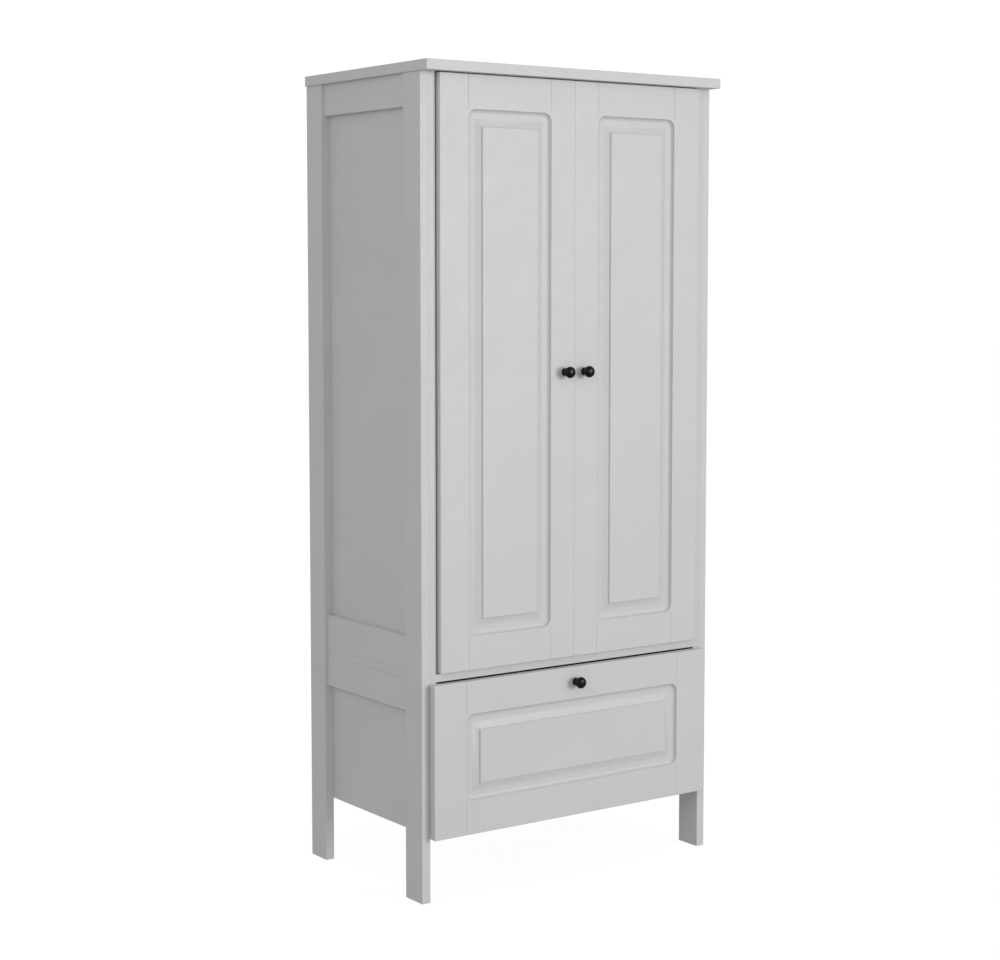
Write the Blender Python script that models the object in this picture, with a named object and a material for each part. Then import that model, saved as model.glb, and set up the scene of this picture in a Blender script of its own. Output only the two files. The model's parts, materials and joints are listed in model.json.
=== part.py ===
"""A tall wardrobe with two doors over one wide drawer, on four plain legs.

Metres, +Z up. The front faces -Y and the origin is on the floor, in the middle of the whole
wardrobe with its knobs. Left is -X, as seen by someone who stands in front of it.

Each side is a frame of two posts and three thinner rails, fixed on the outside of plain side
boards. The doors sit partly between the side boards on cup hinges, and the drawer's front lies
over the boards' front edges. Pieces that touch keep a gap of a third of a millimetre.
"""
import math

import bmesh
import bpy
from mathutils import Matrix, Vector

GAP = 0.0003
# How far a cutter reaches past the surface it opens
OVERCUT = 0.005
# Sides of the round shapes
PIN_STEPS = 14
HOLE_STEPS = 16
ROUND_STEPS = 28
CUP_STEPS = 32
CORNER_STEPS = 6
COVE_STEPS = 3
CROWN_STEPS = 6

# Carcass
HEIGHT = 1.745
BODY_WIDTH = 0.772
BODY_DEPTH = 0.458
TOP_THICKNESS = 0.021
TOP_OVER_FRONT = 0.032
TOP_OVER_SIDE = 0.004
POST_THICKNESS = 0.020
POST_WIDTH = 0.063
RAIL_THICKNESS = 0.013
SIDE_BOARD = 0.016
BACK_PANEL = 0.003
SIDE_BOTTOM = 0.140
WAIST_RAIL_BOTTOM = 0.398
FLOOR_BOTTOM = 0.466
FLOOR_TOP = 0.483
WAIST_RAIL_TOP = 0.556
TOP_RAIL_BOTTOM = 1.656
STRETCHER = (0.018, 0.060)
STRETCHER_SETBACK = 0.002
STOP_RAIL = (0.016, 0.040)
STOP_RAIL_PLAY = 0.0015
# The stop rail ends short of the side boards, clear of the doors' hinge edges as they swing in
STOP_RAIL_END = 0.033
EDGE = 0.001
THIN_EDGE = 0.0004

# Doors
DOOR_THICKNESS = 0.018
DOOR_PROUD = 0.012
DOOR_SIDE_GAP = 0.0039
DOOR_MEETING_GAP = 0.0006
DOOR_END_GAP = 0.002
DOOR_STILE_OUTER = 0.0713
DOOR_STILE_INNER = 0.0627
DOOR_RAIL = 0.0715
DOOR_OPENING = 95

# Drawer
DRAWER_PROUD = 0.0195
DRAWER_THICKNESS = 0.018
DRAWER_FRONT_HALF = 0.367
DRAWER_FRONT_BOTTOM = 0.1355
DRAWER_FRONT_TOP = 0.4632
DRAWER_STILE = 0.0805
DRAWER_RAIL_BOTTOM = 0.0725
DRAWER_RAIL_TOP = 0.0707
DRAWER_BOX_BOTTOM = 0.172
DRAWER_BOX_TOP = 0.372
DRAWER_BOX_DEPTH = 0.400
DRAWER_BOARD = 0.012
DRAWER_BASE = 0.004
RUNNER_SPACE = 0.013
RUNNER_Z = 0.215
RUNNER_HALF = 0.0175
RUNNER_SHEET = 0.0012
RUNNER_REACH = 0.0088
RUNNER_START = 0.012
RUNNER_PLAY = 0.0008
GROOVE = (0.006, 0.0048)
GROOVE_BOTTOM = 0.180

# Routed border of the doors and the drawer front, from its outer edge inwards: a cove, a flat floor
# up to where the corners' radius is used up, a bevel, and a small step up to the field
CORNER_RADIUS = 0.018
COVE = (0.0085, 0.0075)
BEVEL_END = (0.0315, 0.0018)
FIELD_START = 0.0325
V_LINE = (0.002, 0.0008)
V_LINE_OFFSET = 0.0005
FRONT_CHAMFER = 0.0012

# Knobs
KNOB_REACH = 0.027
KNOB_RADIUS = 0.0125
KNOB_WIDEST = 0.0185
KNOB_HOLE = 0.0024
DOOR_KNOB_X = 0.026
DOOR_KNOB_Z = 1.1035
DRAWER_KNOB_Z = 0.4305

# Cup hinges. The pivot is given from the door's hinge edge and from its front face.
HINGE_END_DISTANCE = 0.100
PIVOT_FROM_EDGE = 0.012
PIVOT_FROM_FACE = 0.0095
CUP_FROM_EDGE = 0.0225
CUP_RADIUS = 0.0172
CUP_DEPTH = 0.0128
POCKET_CLEARANCE = 0.0003
# The hollow in the cup: its near and far ends from the door's edge, and half its height
CAVITY = (0.0086, 0.0364, 0.0085)
CAVITY_FLOOR = 0.0064
# The cup's wings: thickness, half height and half width
WING = (0.0012, 0.024, 0.0095)
PIVOT_PIN_RADIUS = 0.0012
PIVOT_PIN_BITE = 0.0005
# The ring round the pin: bore and outer radius
KNUCKLE = (0.0016, 0.0029)
# The arm's path: how far from the door's edge it turns back, and how deep it turns to the board
ARM_HALF_HEIGHT = 0.0068
ARM_HALF_SHEET = 0.0012
ARM_TURN = 0.0250
ARM_PATH_DEPTH = 0.0275
ARM_TAIL = 0.006
# The mounting plate: its near and far ends from the door's face, and half its height
PLATE = (0.042, 0.066, 0.021)
PLATE_SHEET = 0.0020

# Inside
SHELF_BOTTOM = 1.430
SHELF_THICKNESS = 0.016
SHELF_SETBACK = 0.030
SHELF_PIN_DEPTHS = (0.070, 0.390)
CLOTHES_RAIL_Z = 1.370
CLOTHES_RAIL_DEPTH = 0.225
CLOTHES_RAIL_RADIUS = 0.0125
TUBE_WALL = 0.0015
SOCKET_PLATE = (0.022, 0.003)
SOCKET_RIM = (0.0129, 0.0152, 0.012)
PIN_COLLAR = (0.004, 0.009)
PIN_PEG = (0.0025, 0.008)
PIN_HOLE = (0.0029, 0.0085)
PIN_Z = SHELF_BOTTOM - GAP - PIN_COLLAR[0]

# Derived places
HALF_WIDTH = BODY_WIDTH / 2
FRONT = -(BODY_DEPTH - DRAWER_PROUD - KNOB_REACH) / 2
BACK = FRONT + BODY_DEPTH
TOP_UNDERSIDE = HEIGHT - TOP_THICKNESS
BOARD_OUTSIDE = HALF_WIDTH - POST_THICKNESS - GAP
BOARD_INSIDE = BOARD_OUTSIDE - SIDE_BOARD
BOARD_BACK = BACK - BACK_PANEL - 2 * GAP
RAIL_OUTSIDE = HALF_WIDTH - POST_THICKNESS + RAIL_THICKNESS
DOOR_OUTER_X = BOARD_INSIDE - DOOR_SIDE_GAP
DOOR_INNER_X = DOOR_MEETING_GAP / 2
DOOR_FACE = FRONT - DOOR_PROUD
DOOR_BACK = DOOR_FACE + DOOR_THICKNESS
DOOR_BOTTOM = FLOOR_TOP + DOOR_END_GAP
DOOR_TOP = TOP_UNDERSIDE - DOOR_END_GAP
PIVOT_X = DOOR_OUTER_X - PIVOT_FROM_EDGE
PIVOT_Y = DOOR_FACE + PIVOT_FROM_FACE
DRAWER_FACE = FRONT - DRAWER_PROUD
DRAWER_BACK_FACE = DRAWER_FACE + DRAWER_THICKNESS
DRAWER_BOX_HALF = BOARD_INSIDE - RUNNER_SPACE
HINGE_HEIGHTS = (
    DOOR_BOTTOM + HINGE_END_DISTANCE,
    (DOOR_BOTTOM + DOOR_TOP) / 2,
    DOOR_TOP - HINGE_END_DISTANCE,
)
SIDES = (("left", -1), ("right", 1))


# ------------------------------------------------------------------ materials
def material(name, colour, roughness, metallic=0.0):
    """A plain Principled material of one colour, given as 0 to 1 linear values."""
    finish = bpy.data.materials.new(name)
    finish.use_nodes = True
    shader = finish.node_tree.nodes["Principled BSDF"]
    shader.inputs["Base Color"].default_value = (*colour, 1.0)
    shader.inputs["Roughness"].default_value = roughness
    shader.inputs["Metallic"].default_value = metallic
    return finish


def make_materials():
    return {
        "paint": material("grey_paint", (0.60, 0.60, 0.59), 0.45),
        "hardboard": material("painted_hardboard", (0.56, 0.56, 0.55), 0.6),
        "drawer": material("drawer_board", (0.62, 0.62, 0.61), 0.5),
        "black": material("black_lacquer", (0.012, 0.012, 0.012), 0.35),
        "nickel": material("nickel_plate", (0.55, 0.54, 0.52), 0.3, 1.0),
        "zinc": material("zinc_plate", (0.45, 0.46, 0.47), 0.4, 1.0),
        "chrome": material("chrome_plate", (0.65, 0.65, 0.65), 0.15, 1.0),
    }


# -------------------------------------------------------------- mesh building
def rounded_rectangle(half_x, half_z, radius, steps):
    """Corner points in X and Z, anticlockwise from the top right: steps + 1 on each corner."""
    if radius <= 0:
        return [(half_x, half_z), (-half_x, half_z), (-half_x, -half_z), (half_x, -half_z)]
    points = []
    for corner, (side_x, side_z) in enumerate(((1, 1), (-1, 1), (-1, -1), (1, -1))):
        for step in range(steps + 1):
            angle = (corner + step / steps) * math.pi / 2
            points.append((
                side_x * (half_x - radius) + radius * math.cos(angle),
                side_z * (half_z - radius) + radius * math.sin(angle),
            ))
    return points


def add_loop(bm, points, y):
    return [bm.verts.new((x, y, z)) for x, z in points]


def bridge(bm, outer, inner):
    """Faces between two loops with equal counts, or where one of them has only four corners."""
    if len(outer) == len(inner):
        for i, vert in enumerate(outer):
            j = (i + 1) % len(outer)
            bm.faces.new((vert, outer[j], inner[j], inner[i]))
        return
    few, many = (outer, inner) if len(outer) == 4 else (inner, outer)
    arc = len(many) // 4
    for corner in range(4):
        first = corner * arc
        for i in range(first, first + arc - 1):
            bm.faces.new((few[corner], many[i], many[i + 1]))
        following = (corner + 1) % 4
        last = first + arc - 1
        bm.faces.new((few[corner], many[last], many[(last + 1) % len(many)], few[following]))


def lathe(profile, steps, closed=False):
    """Turns (radius, height) points about Z. Open profiles start and end on the axis."""
    bm = bmesh.new()
    rings = []
    for radius, height in profile:
        if radius == 0:
            rings.append([bm.verts.new((0, 0, height))])
            continue
        turn = [2 * math.pi * i / steps for i in range(steps)]
        rings.append([bm.verts.new((radius * math.cos(a), radius * math.sin(a), height)) for a in turn])
    pairs = list(zip(rings, rings[1:]))
    if closed:
        pairs.append((rings[-1], rings[0]))
    for lower, upper in pairs:
        for i in range(steps):
            j = (i + 1) % steps
            corners = (lower[i % len(lower)], lower[j % len(lower)],
                       upper[j % len(upper)], upper[i % len(upper)])
            bm.faces.new(tuple(dict.fromkeys(corners)))
    bmesh.ops.recalc_face_normals(bm, faces=bm.faces)
    return bm


def prism(outline, low, high):
    """An outline in X and Y, extruded from one height to another."""
    bm = bmesh.new()
    base = bm.faces.new([bm.verts.new((x, y, low)) for x, y in outline])
    grown = bmesh.ops.extrude_face_region(bm, geom=[base])
    top = [item for item in grown["geom"] if isinstance(item, bmesh.types.BMVert)]
    bmesh.ops.translate(bm, verts=top, vec=(0, 0, high - low))
    bmesh.ops.recalc_face_normals(bm, faces=bm.faces)
    return bm


def block(low, high):
    """A plain box between two corners."""
    bm = bmesh.new()
    low, high = Vector(low), Vector(high)
    place = Matrix.Translation((low + high) / 2) @ Matrix.Diagonal((*(high - low), 1))
    bmesh.ops.create_cube(bm, size=1, matrix=place)
    return bm


def cylinder(radius, start, end, steps):
    """A cylinder between two points."""
    start, end = Vector(start), Vector(end)
    turn = (end - start).to_track_quat("Z", "Y").to_matrix().to_4x4()
    place = Matrix.Translation((start + end) / 2) @ turn
    bm = bmesh.new()
    bmesh.ops.create_cone(bm, cap_ends=True, segments=steps, radius1=radius, radius2=radius,
                          depth=(end - start).length, matrix=place)
    return bm


def joined(parts):
    """One bmesh that holds several loose ones."""
    whole = bmesh.new()
    for part in parts:
        mesh = bpy.data.meshes.new("part")
        part.to_mesh(mesh)
        whole.from_mesh(mesh)
        bpy.data.meshes.remove(mesh)
        part.free()
    return whole


# ------------------------------------------------------------- making objects
def make_object(name, bm, finish, parent=None, smooth=False):
    """An object from a bmesh in world coordinates, with its origin at the middle of its box."""
    mesh = bpy.data.meshes.new(name)
    low = Vector([min(vert.co[axis] for vert in bm.verts) for axis in range(3)])
    high = Vector([max(vert.co[axis] for vert in bm.verts) for axis in range(3)])
    middle = (low + high) / 2
    bmesh.ops.translate(bm, verts=bm.verts, vec=-middle)
    bm.to_mesh(mesh)
    bm.free()
    mesh.materials.append(finish)
    if smooth:
        mesh.shade_smooth()
        mesh.set_sharp_from_angle(angle=math.radians(35))
    piece = bpy.data.objects.new(name, mesh)
    bpy.context.collection.objects.link(piece)
    piece.location = middle
    if parent:
        hang_from(parent, piece)
    return piece


def hang_from(parent, piece):
    """Parents a piece to an empty without moving it."""
    piece.parent = parent
    piece.location -= parent.location


def board(name, low, high, finish, parent=None, edge=EDGE):
    """A flat board with its edges eased by a small bevel."""
    piece = make_object(name, block(low, high), finish, parent)
    bevel = piece.modifiers.new("eased edges", "BEVEL")
    bevel.width = edge
    bevel.segments = 1
    return piece


def side_board(name, side, x_range, y_range, z_range, finish):
    """A board on one side of the wardrobe, with X given as distances from the middle."""
    xs = sorted(side * x for x in x_range)
    return board(name, (xs[0], y_range[0], z_range[0]), (xs[1], y_range[1], z_range[1]), finish)


def carve(piece, cutter, operation="DIFFERENCE"):
    """Cuts a world-space bmesh out of an object, or adds it, and keeps what comes out as its mesh."""
    mesh = bpy.data.meshes.new("cutter")
    cutter.to_mesh(mesh)
    cutter.free()
    tool = bpy.data.objects.new("cutter", mesh)
    bpy.context.collection.objects.link(tool)
    boolean = piece.modifiers.new("carve", "BOOLEAN")
    boolean.operation = operation
    boolean.solver = "EXACT"
    boolean.object = tool
    bpy.context.view_layer.update()
    graph = bpy.context.evaluated_depsgraph_get()
    result = bpy.data.meshes.new_from_object(piece.evaluated_get(graph))
    piece.modifiers.clear()
    old, piece.data = piece.data, result
    result.name = piece.name
    bpy.data.meshes.remove(old)
    bpy.data.objects.remove(tool)
    bpy.data.meshes.remove(mesh)


def empty(name, location):
    """An empty on a joint's axis, which the moving pieces hang from."""
    holder = bpy.data.objects.new(name, None)
    bpy.context.collection.objects.link(holder)
    holder.location = location
    return holder


# ---------------------------------------------------------------- the carcass
def make_top_panel(finish):
    over = HALF_WIDTH + TOP_OVER_SIDE
    board("top_panel", (-over, FRONT - TOP_OVER_FRONT, TOP_UNDERSIDE), (over, BACK, HEIGHT), finish)


def make_posts(finish):
    depths = {"front": (FRONT, FRONT + POST_WIDTH), "back": (BACK - POST_WIDTH, BACK)}
    for row, y_range in depths.items():
        for word, side in SIDES:
            side_board(f"post_{row}_{word}", side, (HALF_WIDTH - POST_THICKNESS, HALF_WIDTH),
                       y_range, (0, TOP_UNDERSIDE - GAP), finish)


def make_side_rails(finish):
    heights = {
        "top_rail": (TOP_RAIL_BOTTOM, TOP_UNDERSIDE - GAP),
        "waist_rail_upper": (FLOOR_TOP + GAP, WAIST_RAIL_TOP),
        "waist_rail_lower": (WAIST_RAIL_BOTTOM, FLOOR_BOTTOM - GAP),
    }
    y_range = (FRONT + POST_WIDTH + GAP, BACK - POST_WIDTH - GAP)
    for row, z_range in heights.items():
        for word, side in SIDES:
            side_board(f"{row}_{word}", side, (HALF_WIDTH - POST_THICKNESS, RAIL_OUTSIDE),
                       y_range, z_range, finish)


def make_side_boards(finish):
    for word, side in SIDES:
        side_board(f"side_board_lower_{word}", side, (BOARD_INSIDE, BOARD_OUTSIDE),
                   (FRONT, BOARD_BACK), (SIDE_BOTTOM, FLOOR_BOTTOM - GAP), finish)
        upper = side_board(f"side_board_upper_{word}", side, (BOARD_INSIDE, BOARD_OUTSIDE),
                           (FRONT, BOARD_BACK), (FLOOR_TOP + GAP, TOP_UNDERSIDE - GAP), finish)
        radius, depth = PIN_HOLE
        carve(upper, joined([
            cylinder(radius, (side * (BOARD_INSIDE - OVERCUT), FRONT + y, PIN_Z),
                     (side * (BOARD_INSIDE + depth), FRONT + y, PIN_Z), HOLE_STEPS)
            for y in SHELF_PIN_DEPTHS
        ]))


def make_floor_board(finish):
    """The board under the hanging space. It reaches out between the side rails."""
    inner, outer = BOARD_OUTSIDE, RAIL_OUTSIDE
    start, end = FRONT + POST_WIDTH + GAP, BACK - POST_WIDTH - GAP
    right = [(inner, FRONT), (inner, start), (outer, start), (outer, end), (inner, end),
             (inner, BOARD_BACK)]
    left = [(-x, y) for x, y in reversed(right)]
    make_object("floor_board", prism(right + left, FLOOR_BOTTOM, FLOOR_TOP), finish)


def make_back_panels(finish):
    seam = (FLOOR_BOTTOM + FLOOR_TOP) / 2
    y_range = (BACK - BACK_PANEL - GAP, BACK - GAP)
    for name, low, high in (("back_panel_lower", SIDE_BOTTOM, seam - GAP),
                            ("back_panel_upper", seam + GAP, TOP_UNDERSIDE - GAP)):
        board(name, (-BOARD_OUTSIDE, y_range[0], low), (BOARD_OUTSIDE, y_range[1], high), finish,
              edge=THIN_EDGE)


def make_cross_rails(finish):
    """The stretchers under the drawer and the rail that the doors close against."""
    reach = BOARD_INSIDE - GAP
    thickness, width = STRETCHER
    low, high = SIDE_BOTTOM, SIDE_BOTTOM + thickness
    start = FRONT + STRETCHER_SETBACK
    board("stretcher_front", (-reach, start, low), (reach, start + width, high), finish)
    board("stretcher_back", (-reach, BOARD_BACK - width, low), (reach, BOARD_BACK, high), finish)
    reach = BOARD_INSIDE - STOP_RAIL_END
    thickness, width = STOP_RAIL
    start = DOOR_BACK + STOP_RAIL_PLAY
    board("door_stop_rail", (-reach, start, TOP_UNDERSIDE - GAP - width),
          (reach, start + thickness, TOP_UNDERSIDE - GAP), finish)


# -------------------------------------------------------- inside the hanging space
def along_x(bm, side, x, y, z):
    """Lays a turned shape down along X, pointing inwards from one side board."""
    turn = Matrix.Rotation(-side * math.pi / 2, 4, "Y")
    bmesh.ops.transform(bm, verts=bm.verts, matrix=Matrix.Translation((side * x, y, z)) @ turn)
    return bm


def make_hat_shelf(finish, pin_finish):
    reach = BOARD_INSIDE - 2 * GAP
    board("hat_shelf", (-reach, FRONT + SHELF_SETBACK, SHELF_BOTTOM),
          (reach, BOARD_BACK - GAP, SHELF_BOTTOM + SHELF_THICKNESS), finish)
    profile = [(0, -PIN_PEG[1]), (PIN_PEG[0], -PIN_PEG[1]), (PIN_PEG[0], GAP), (PIN_COLLAR[0], GAP),
               (PIN_COLLAR[0], PIN_COLLAR[1]), (0, PIN_COLLAR[1])]
    for row, depth in zip(("front", "back"), SHELF_PIN_DEPTHS):
        for word, side in SIDES:
            pin = along_x(lathe(profile, PIN_STEPS), side, BOARD_INSIDE, FRONT + depth, PIN_Z)
            make_object(f"shelf_pin_{row}_{word}", pin, pin_finish, smooth=True)


def make_clothes_rail(finish):
    plate_radius, plate = SOCKET_PLATE
    inner, outer, rim = SOCKET_RIM
    y = FRONT + CLOTHES_RAIL_DEPTH
    profile = [(0, 0), (plate_radius, 0), (plate_radius, plate), (outer, plate),
               (outer, plate + rim), (inner, plate + rim), (inner, plate), (0, plate)]
    for word, side in SIDES:
        socket = along_x(lathe(profile, ROUND_STEPS), side, BOARD_INSIDE - GAP, y, CLOTHES_RAIL_Z)
        make_object(f"rail_socket_{word}", socket, finish, smooth=True)
    half = BOARD_INSIDE - 2 * GAP - plate
    bore = CLOTHES_RAIL_RADIUS - TUBE_WALL
    tube = lathe([(CLOTHES_RAIL_RADIUS, -half), (CLOTHES_RAIL_RADIUS, half), (bore, half), (bore, -half)],
                 ROUND_STEPS, closed=True)
    make_object("clothes_rail", along_x(tube, 1, 0, y, CLOTHES_RAIL_Z), finish, smooth=True)


# ------------------------------------------------------------- panelled fronts
def border_rings():
    """(distance in from the border's outer edge, depth) of each ring of the routed border."""
    cove_width, cove_depth = COVE
    rings = []
    for step in range(COVE_STEPS + 1):
        angle = step / COVE_STEPS * math.pi / 2
        rings.append((cove_width * (1 - math.cos(angle)), cove_depth * math.sin(angle)))
    return rings + [(CORNER_RADIUS, cove_depth), BEVEL_END, (FIELD_START, 0.0)]


def panelled_front(name, low, high, face, thickness, border_low, border_high, finish, parent):
    """A front board with a raised field in a routed border and V-lines on its two rails.

    low, high, border_low and border_high are corners in X and Z. face is the front's Y.
    """
    bm = bmesh.new()
    middle = [(low[i] + high[i]) / 2 for i in range(2)]
    half = [(high[i] - low[i]) / 2 for i in range(2)]
    border_middle = [(border_low[i] + border_high[i]) / 2 for i in range(2)]
    border_half = [(border_high[i] - border_low[i]) / 2 for i in range(2)]

    def outline(inset, y):
        points = rounded_rectangle(half[0] - inset, half[1] - inset, 0, 1)
        return add_loop(bm, [(middle[0] + x, middle[1] + z) for x, z in points], y)

    def border(inset, depth):
        radius = CORNER_RADIUS - inset
        points = rounded_rectangle(border_half[0] - inset, border_half[1] - inset, radius, CORNER_STEPS)
        return add_loop(bm, [(border_middle[0] + x, border_middle[1] + z) for x, z in points], face + depth)

    loops = [outline(0, face + thickness), outline(0, face + FRONT_CHAMFER), outline(FRONT_CHAMFER, face)]
    loops += [border(inset, depth) for inset, depth in border_rings()]
    for outer, inner in zip(loops, loops[1:]):
        bridge(bm, outer, inner)
    bm.faces.new(loops[-1])
    bm.faces.new(loops[0])
    bmesh.ops.recalc_face_normals(bm, faces=bm.faces)
    piece = make_object(name, bm, finish, parent)
    carve(piece, joined([
        v_line(x, bottom, top, face)
        for x in (border_low[0] - V_LINE_OFFSET, border_high[0] + V_LINE_OFFSET)
        for bottom, top in ((low[1] - OVERCUT, border_low[1]), (border_high[1], high[1] + OVERCUT))
    ]))
    return piece


def v_line(x, bottom, top, face):
    """The cutter of one V-shaped line, which runs up a rail at the edge of a stile."""
    width, depth = V_LINE
    slope = width / 2 / depth
    reach = width / 2 + OVERCUT * slope
    return prism([(x - reach, face - OVERCUT), (x + reach, face - OVERCUT), (x, face + depth)],
                 bottom, top)


# ----------------------------------------------------------------------- knobs
def knob_profile():
    """(radius, distance out from the face) from the bottom of the screw hole to the crown."""
    neck = [(0.0087, 0.0003), (0.0087, 0.0016), (0.0078, 0.0026), (0.0062, 0.0050), (0.0060, 0.0080),
            (0.0074, 0.0112), (0.0104, 0.0138)]
    crown = []
    for step in range(CROWN_STEPS + 1):
        angle = math.radians(-20 + step / CROWN_STEPS * 110)
        crown.append((KNOB_RADIUS * math.cos(angle),
                      KNOB_WIDEST + (KNOB_REACH - KNOB_WIDEST) * math.sin(angle)))
    crown[-1] = (0, KNOB_REACH)
    hole = (KNOB_HOLE, 0.0115)
    return [(0, hole[1]), hole, (KNOB_HOLE, 0.0003)] + neck + crown


def screw_profile(thickness):
    """The knob's screw: its head behind the board, its shank through it and into the knob."""
    head, shank = 0.0040, 0.0020
    back = -thickness - GAP
    return [(0, back - 0.0022), (head * 0.8, back - 0.0022), (head, back - 0.0014), (head, back),
            (shank, back), (shank, 0.0105), (0, 0.0105)]


def facing_front(bm, x, y, z):
    """Lays a turned shape down so that its height points at -Y, out of a front's face."""
    turn = Matrix.Rotation(math.pi / 2, 4, "X")
    bmesh.ops.transform(bm, verts=bm.verts, matrix=Matrix.Translation((x, y, z)) @ turn)
    return bm


def add_knob(word, front, x, face, z, thickness, finishes, parent):
    """Drills a front and puts a knob and its screw in the hole."""
    carve(front, cylinder(KNOB_HOLE, (x, face - OVERCUT, z), (x, face + thickness + OVERCUT, z),
                          HOLE_STEPS))
    knob = facing_front(lathe(knob_profile(), ROUND_STEPS), x, face, z)
    make_object(f"knob_{word}", knob, finishes["black"], parent, smooth=True)
    screw = facing_front(lathe(screw_profile(thickness), PIN_STEPS), x, face, z)
    make_object(f"knob_screw_{word}", screw, finishes["zinc"], parent, smooth=True)


# ---------------------------------------------------------------------- hinges
def from_door_edge(side, distance, depth):
    """A place given from the door's hinge edge and its front face, in X and Y."""
    return side * (DOOR_OUTER_X - distance), DOOR_FACE + depth


def hinge_block(side, near, far, start, end, low, high):
    """A box given from the door's hinge edge and its front face."""
    x1, y1 = from_door_edge(side, near, start)
    x2, y2 = from_door_edge(side, far, end)
    return block((min(x1, x2), y1, low), (max(x1, x2), y2, high))


def hinge_cylinder_y(side, radius, distance, start, end, z, steps):
    x, y1 = from_door_edge(side, distance, start)
    _, y2 = from_door_edge(side, distance, end)
    return cylinder(radius, (x, y1, z), (x, y2, z), steps)


def cup_pocket(side, z):
    """The cutter of the round pocket in the door's back that takes a hinge cup."""
    floor = DOOR_THICKNESS - CUP_DEPTH - POCKET_CLEARANCE
    return hinge_cylinder_y(side, CUP_RADIUS + POCKET_CLEARANCE, CUP_FROM_EDGE, floor,
                            DOOR_THICKNESS + OVERCUT, z, CUP_STEPS)


def make_hinge_cup(name, side, z, finish, parent):
    """A cup with its wings on the door's back, hollow for the arm, and the pivot pin across it."""
    bottom = DOOR_THICKNESS - CUP_DEPTH
    rim = DOOR_THICKNESS + GAP + WING[0]
    body = hinge_cylinder_y(side, CUP_RADIUS, CUP_FROM_EDGE, bottom, rim, z, CUP_STEPS)
    cup = make_object(name, body, finish)
    near, far = CUP_FROM_EDGE - WING[2], CUP_FROM_EDGE + WING[2]
    wings = hinge_block(side, near, far, DOOR_THICKNESS + GAP, rim, z - WING[1], z + WING[1])
    carve(cup, wings, "UNION")
    near, far, half = CAVITY
    carve(cup, hinge_block(side, near, far, CAVITY_FLOOR, rim + OVERCUT, z - half, z + half))
    x, y = from_door_edge(side, PIVOT_FROM_EDGE, PIVOT_FROM_FACE)
    reach = half + PIVOT_PIN_BITE
    carve(cup, cylinder(PIVOT_PIN_RADIUS, (x, y, z - reach), (x, y, z + reach), PIN_STEPS), "UNION")
    hang_from(parent, cup)


def arm_outline(side):
    """The arm's bent strip, from its knuckle out of the cup and back along the side board."""
    sheet = ARM_HALF_SHEET
    wall = DOOR_SIDE_GAP - GAP
    near, far = ARM_TURN - sheet, ARM_TURN + sheet
    low, high = PIVOT_FROM_FACE - sheet, PIVOT_FROM_FACE + sheet
    bend, back = ARM_PATH_DEPTH - sheet, ARM_PATH_DEPTH + sheet
    plate_end = PLATE[1] + ARM_TAIL
    points = [(PIVOT_FROM_EDGE, low), (far, low), (far, back), (PLATE_SHEET - wall, back),
              (PLATE_SHEET - wall, plate_end), (-wall, plate_end), (-wall, bend), (near, bend),
              (near, high), (PIVOT_FROM_EDGE, high)]
    return [from_door_edge(side, distance, depth) for distance, depth in points]


def make_hinge_arm(name, side, z, finish):
    """The fixed half of a hinge: mounting plate, bent arm and the knuckle round the pin."""
    arm = make_object(name, prism(arm_outline(side), z - ARM_HALF_HEIGHT, z + ARM_HALF_HEIGHT), finish)
    x, y = from_door_edge(side, PIVOT_FROM_EDGE, PIVOT_FROM_FACE)
    bore, outer = KNUCKLE
    half = ARM_HALF_HEIGHT
    carve(arm, cylinder(outer, (x, y, z - half), (x, y, z + half), HOLE_STEPS), "UNION")
    reach = half + OVERCUT
    carve(arm, cylinder(bore, (x, y, z - reach), (x, y, z + reach), HOLE_STEPS))
    wall = DOOR_SIDE_GAP - GAP
    start, end, plate_half = PLATE
    plate = hinge_block(side, -wall, 2 * PLATE_SHEET - wall, start, end, z - plate_half, z + plate_half)
    carve(arm, plate, "UNION")


# ----------------------------------------------------------------------- doors
def make_door(word, side, finishes):
    """One door with its knob and hinges. Its empty stands on the hinges' common axis."""
    pivot = empty(f"door_{word}_axis", (side * PIVOT_X, PIVOT_Y, DOOR_BOTTOM))
    edges = sorted((side * DOOR_INNER_X, side * DOOR_OUTER_X))
    border = sorted((side * (DOOR_INNER_X + DOOR_STILE_INNER), side * (DOOR_OUTER_X - DOOR_STILE_OUTER)))
    door = panelled_front(
        f"door_{word}", (edges[0], DOOR_BOTTOM), (edges[1], DOOR_TOP), DOOR_FACE, DOOR_THICKNESS,
        (border[0], DOOR_BOTTOM + DOOR_RAIL), (border[1], DOOR_TOP - DOOR_RAIL), finishes["paint"], pivot)
    carve(door, joined([cup_pocket(side, z) for z in HINGE_HEIGHTS]))
    add_knob(f"door_{word}", door, side * DOOR_KNOB_X, DOOR_FACE, DOOR_KNOB_Z, DOOR_THICKNESS,
             finishes, pivot)
    for place, z in zip(("bottom", "middle", "top"), HINGE_HEIGHTS):
        make_hinge_cup(f"hinge_cup_{word}_{place}", side, z, finishes["nickel"], pivot)
        make_hinge_arm(f"hinge_arm_{word}_{place}", side, z, finishes["nickel"])


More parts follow.
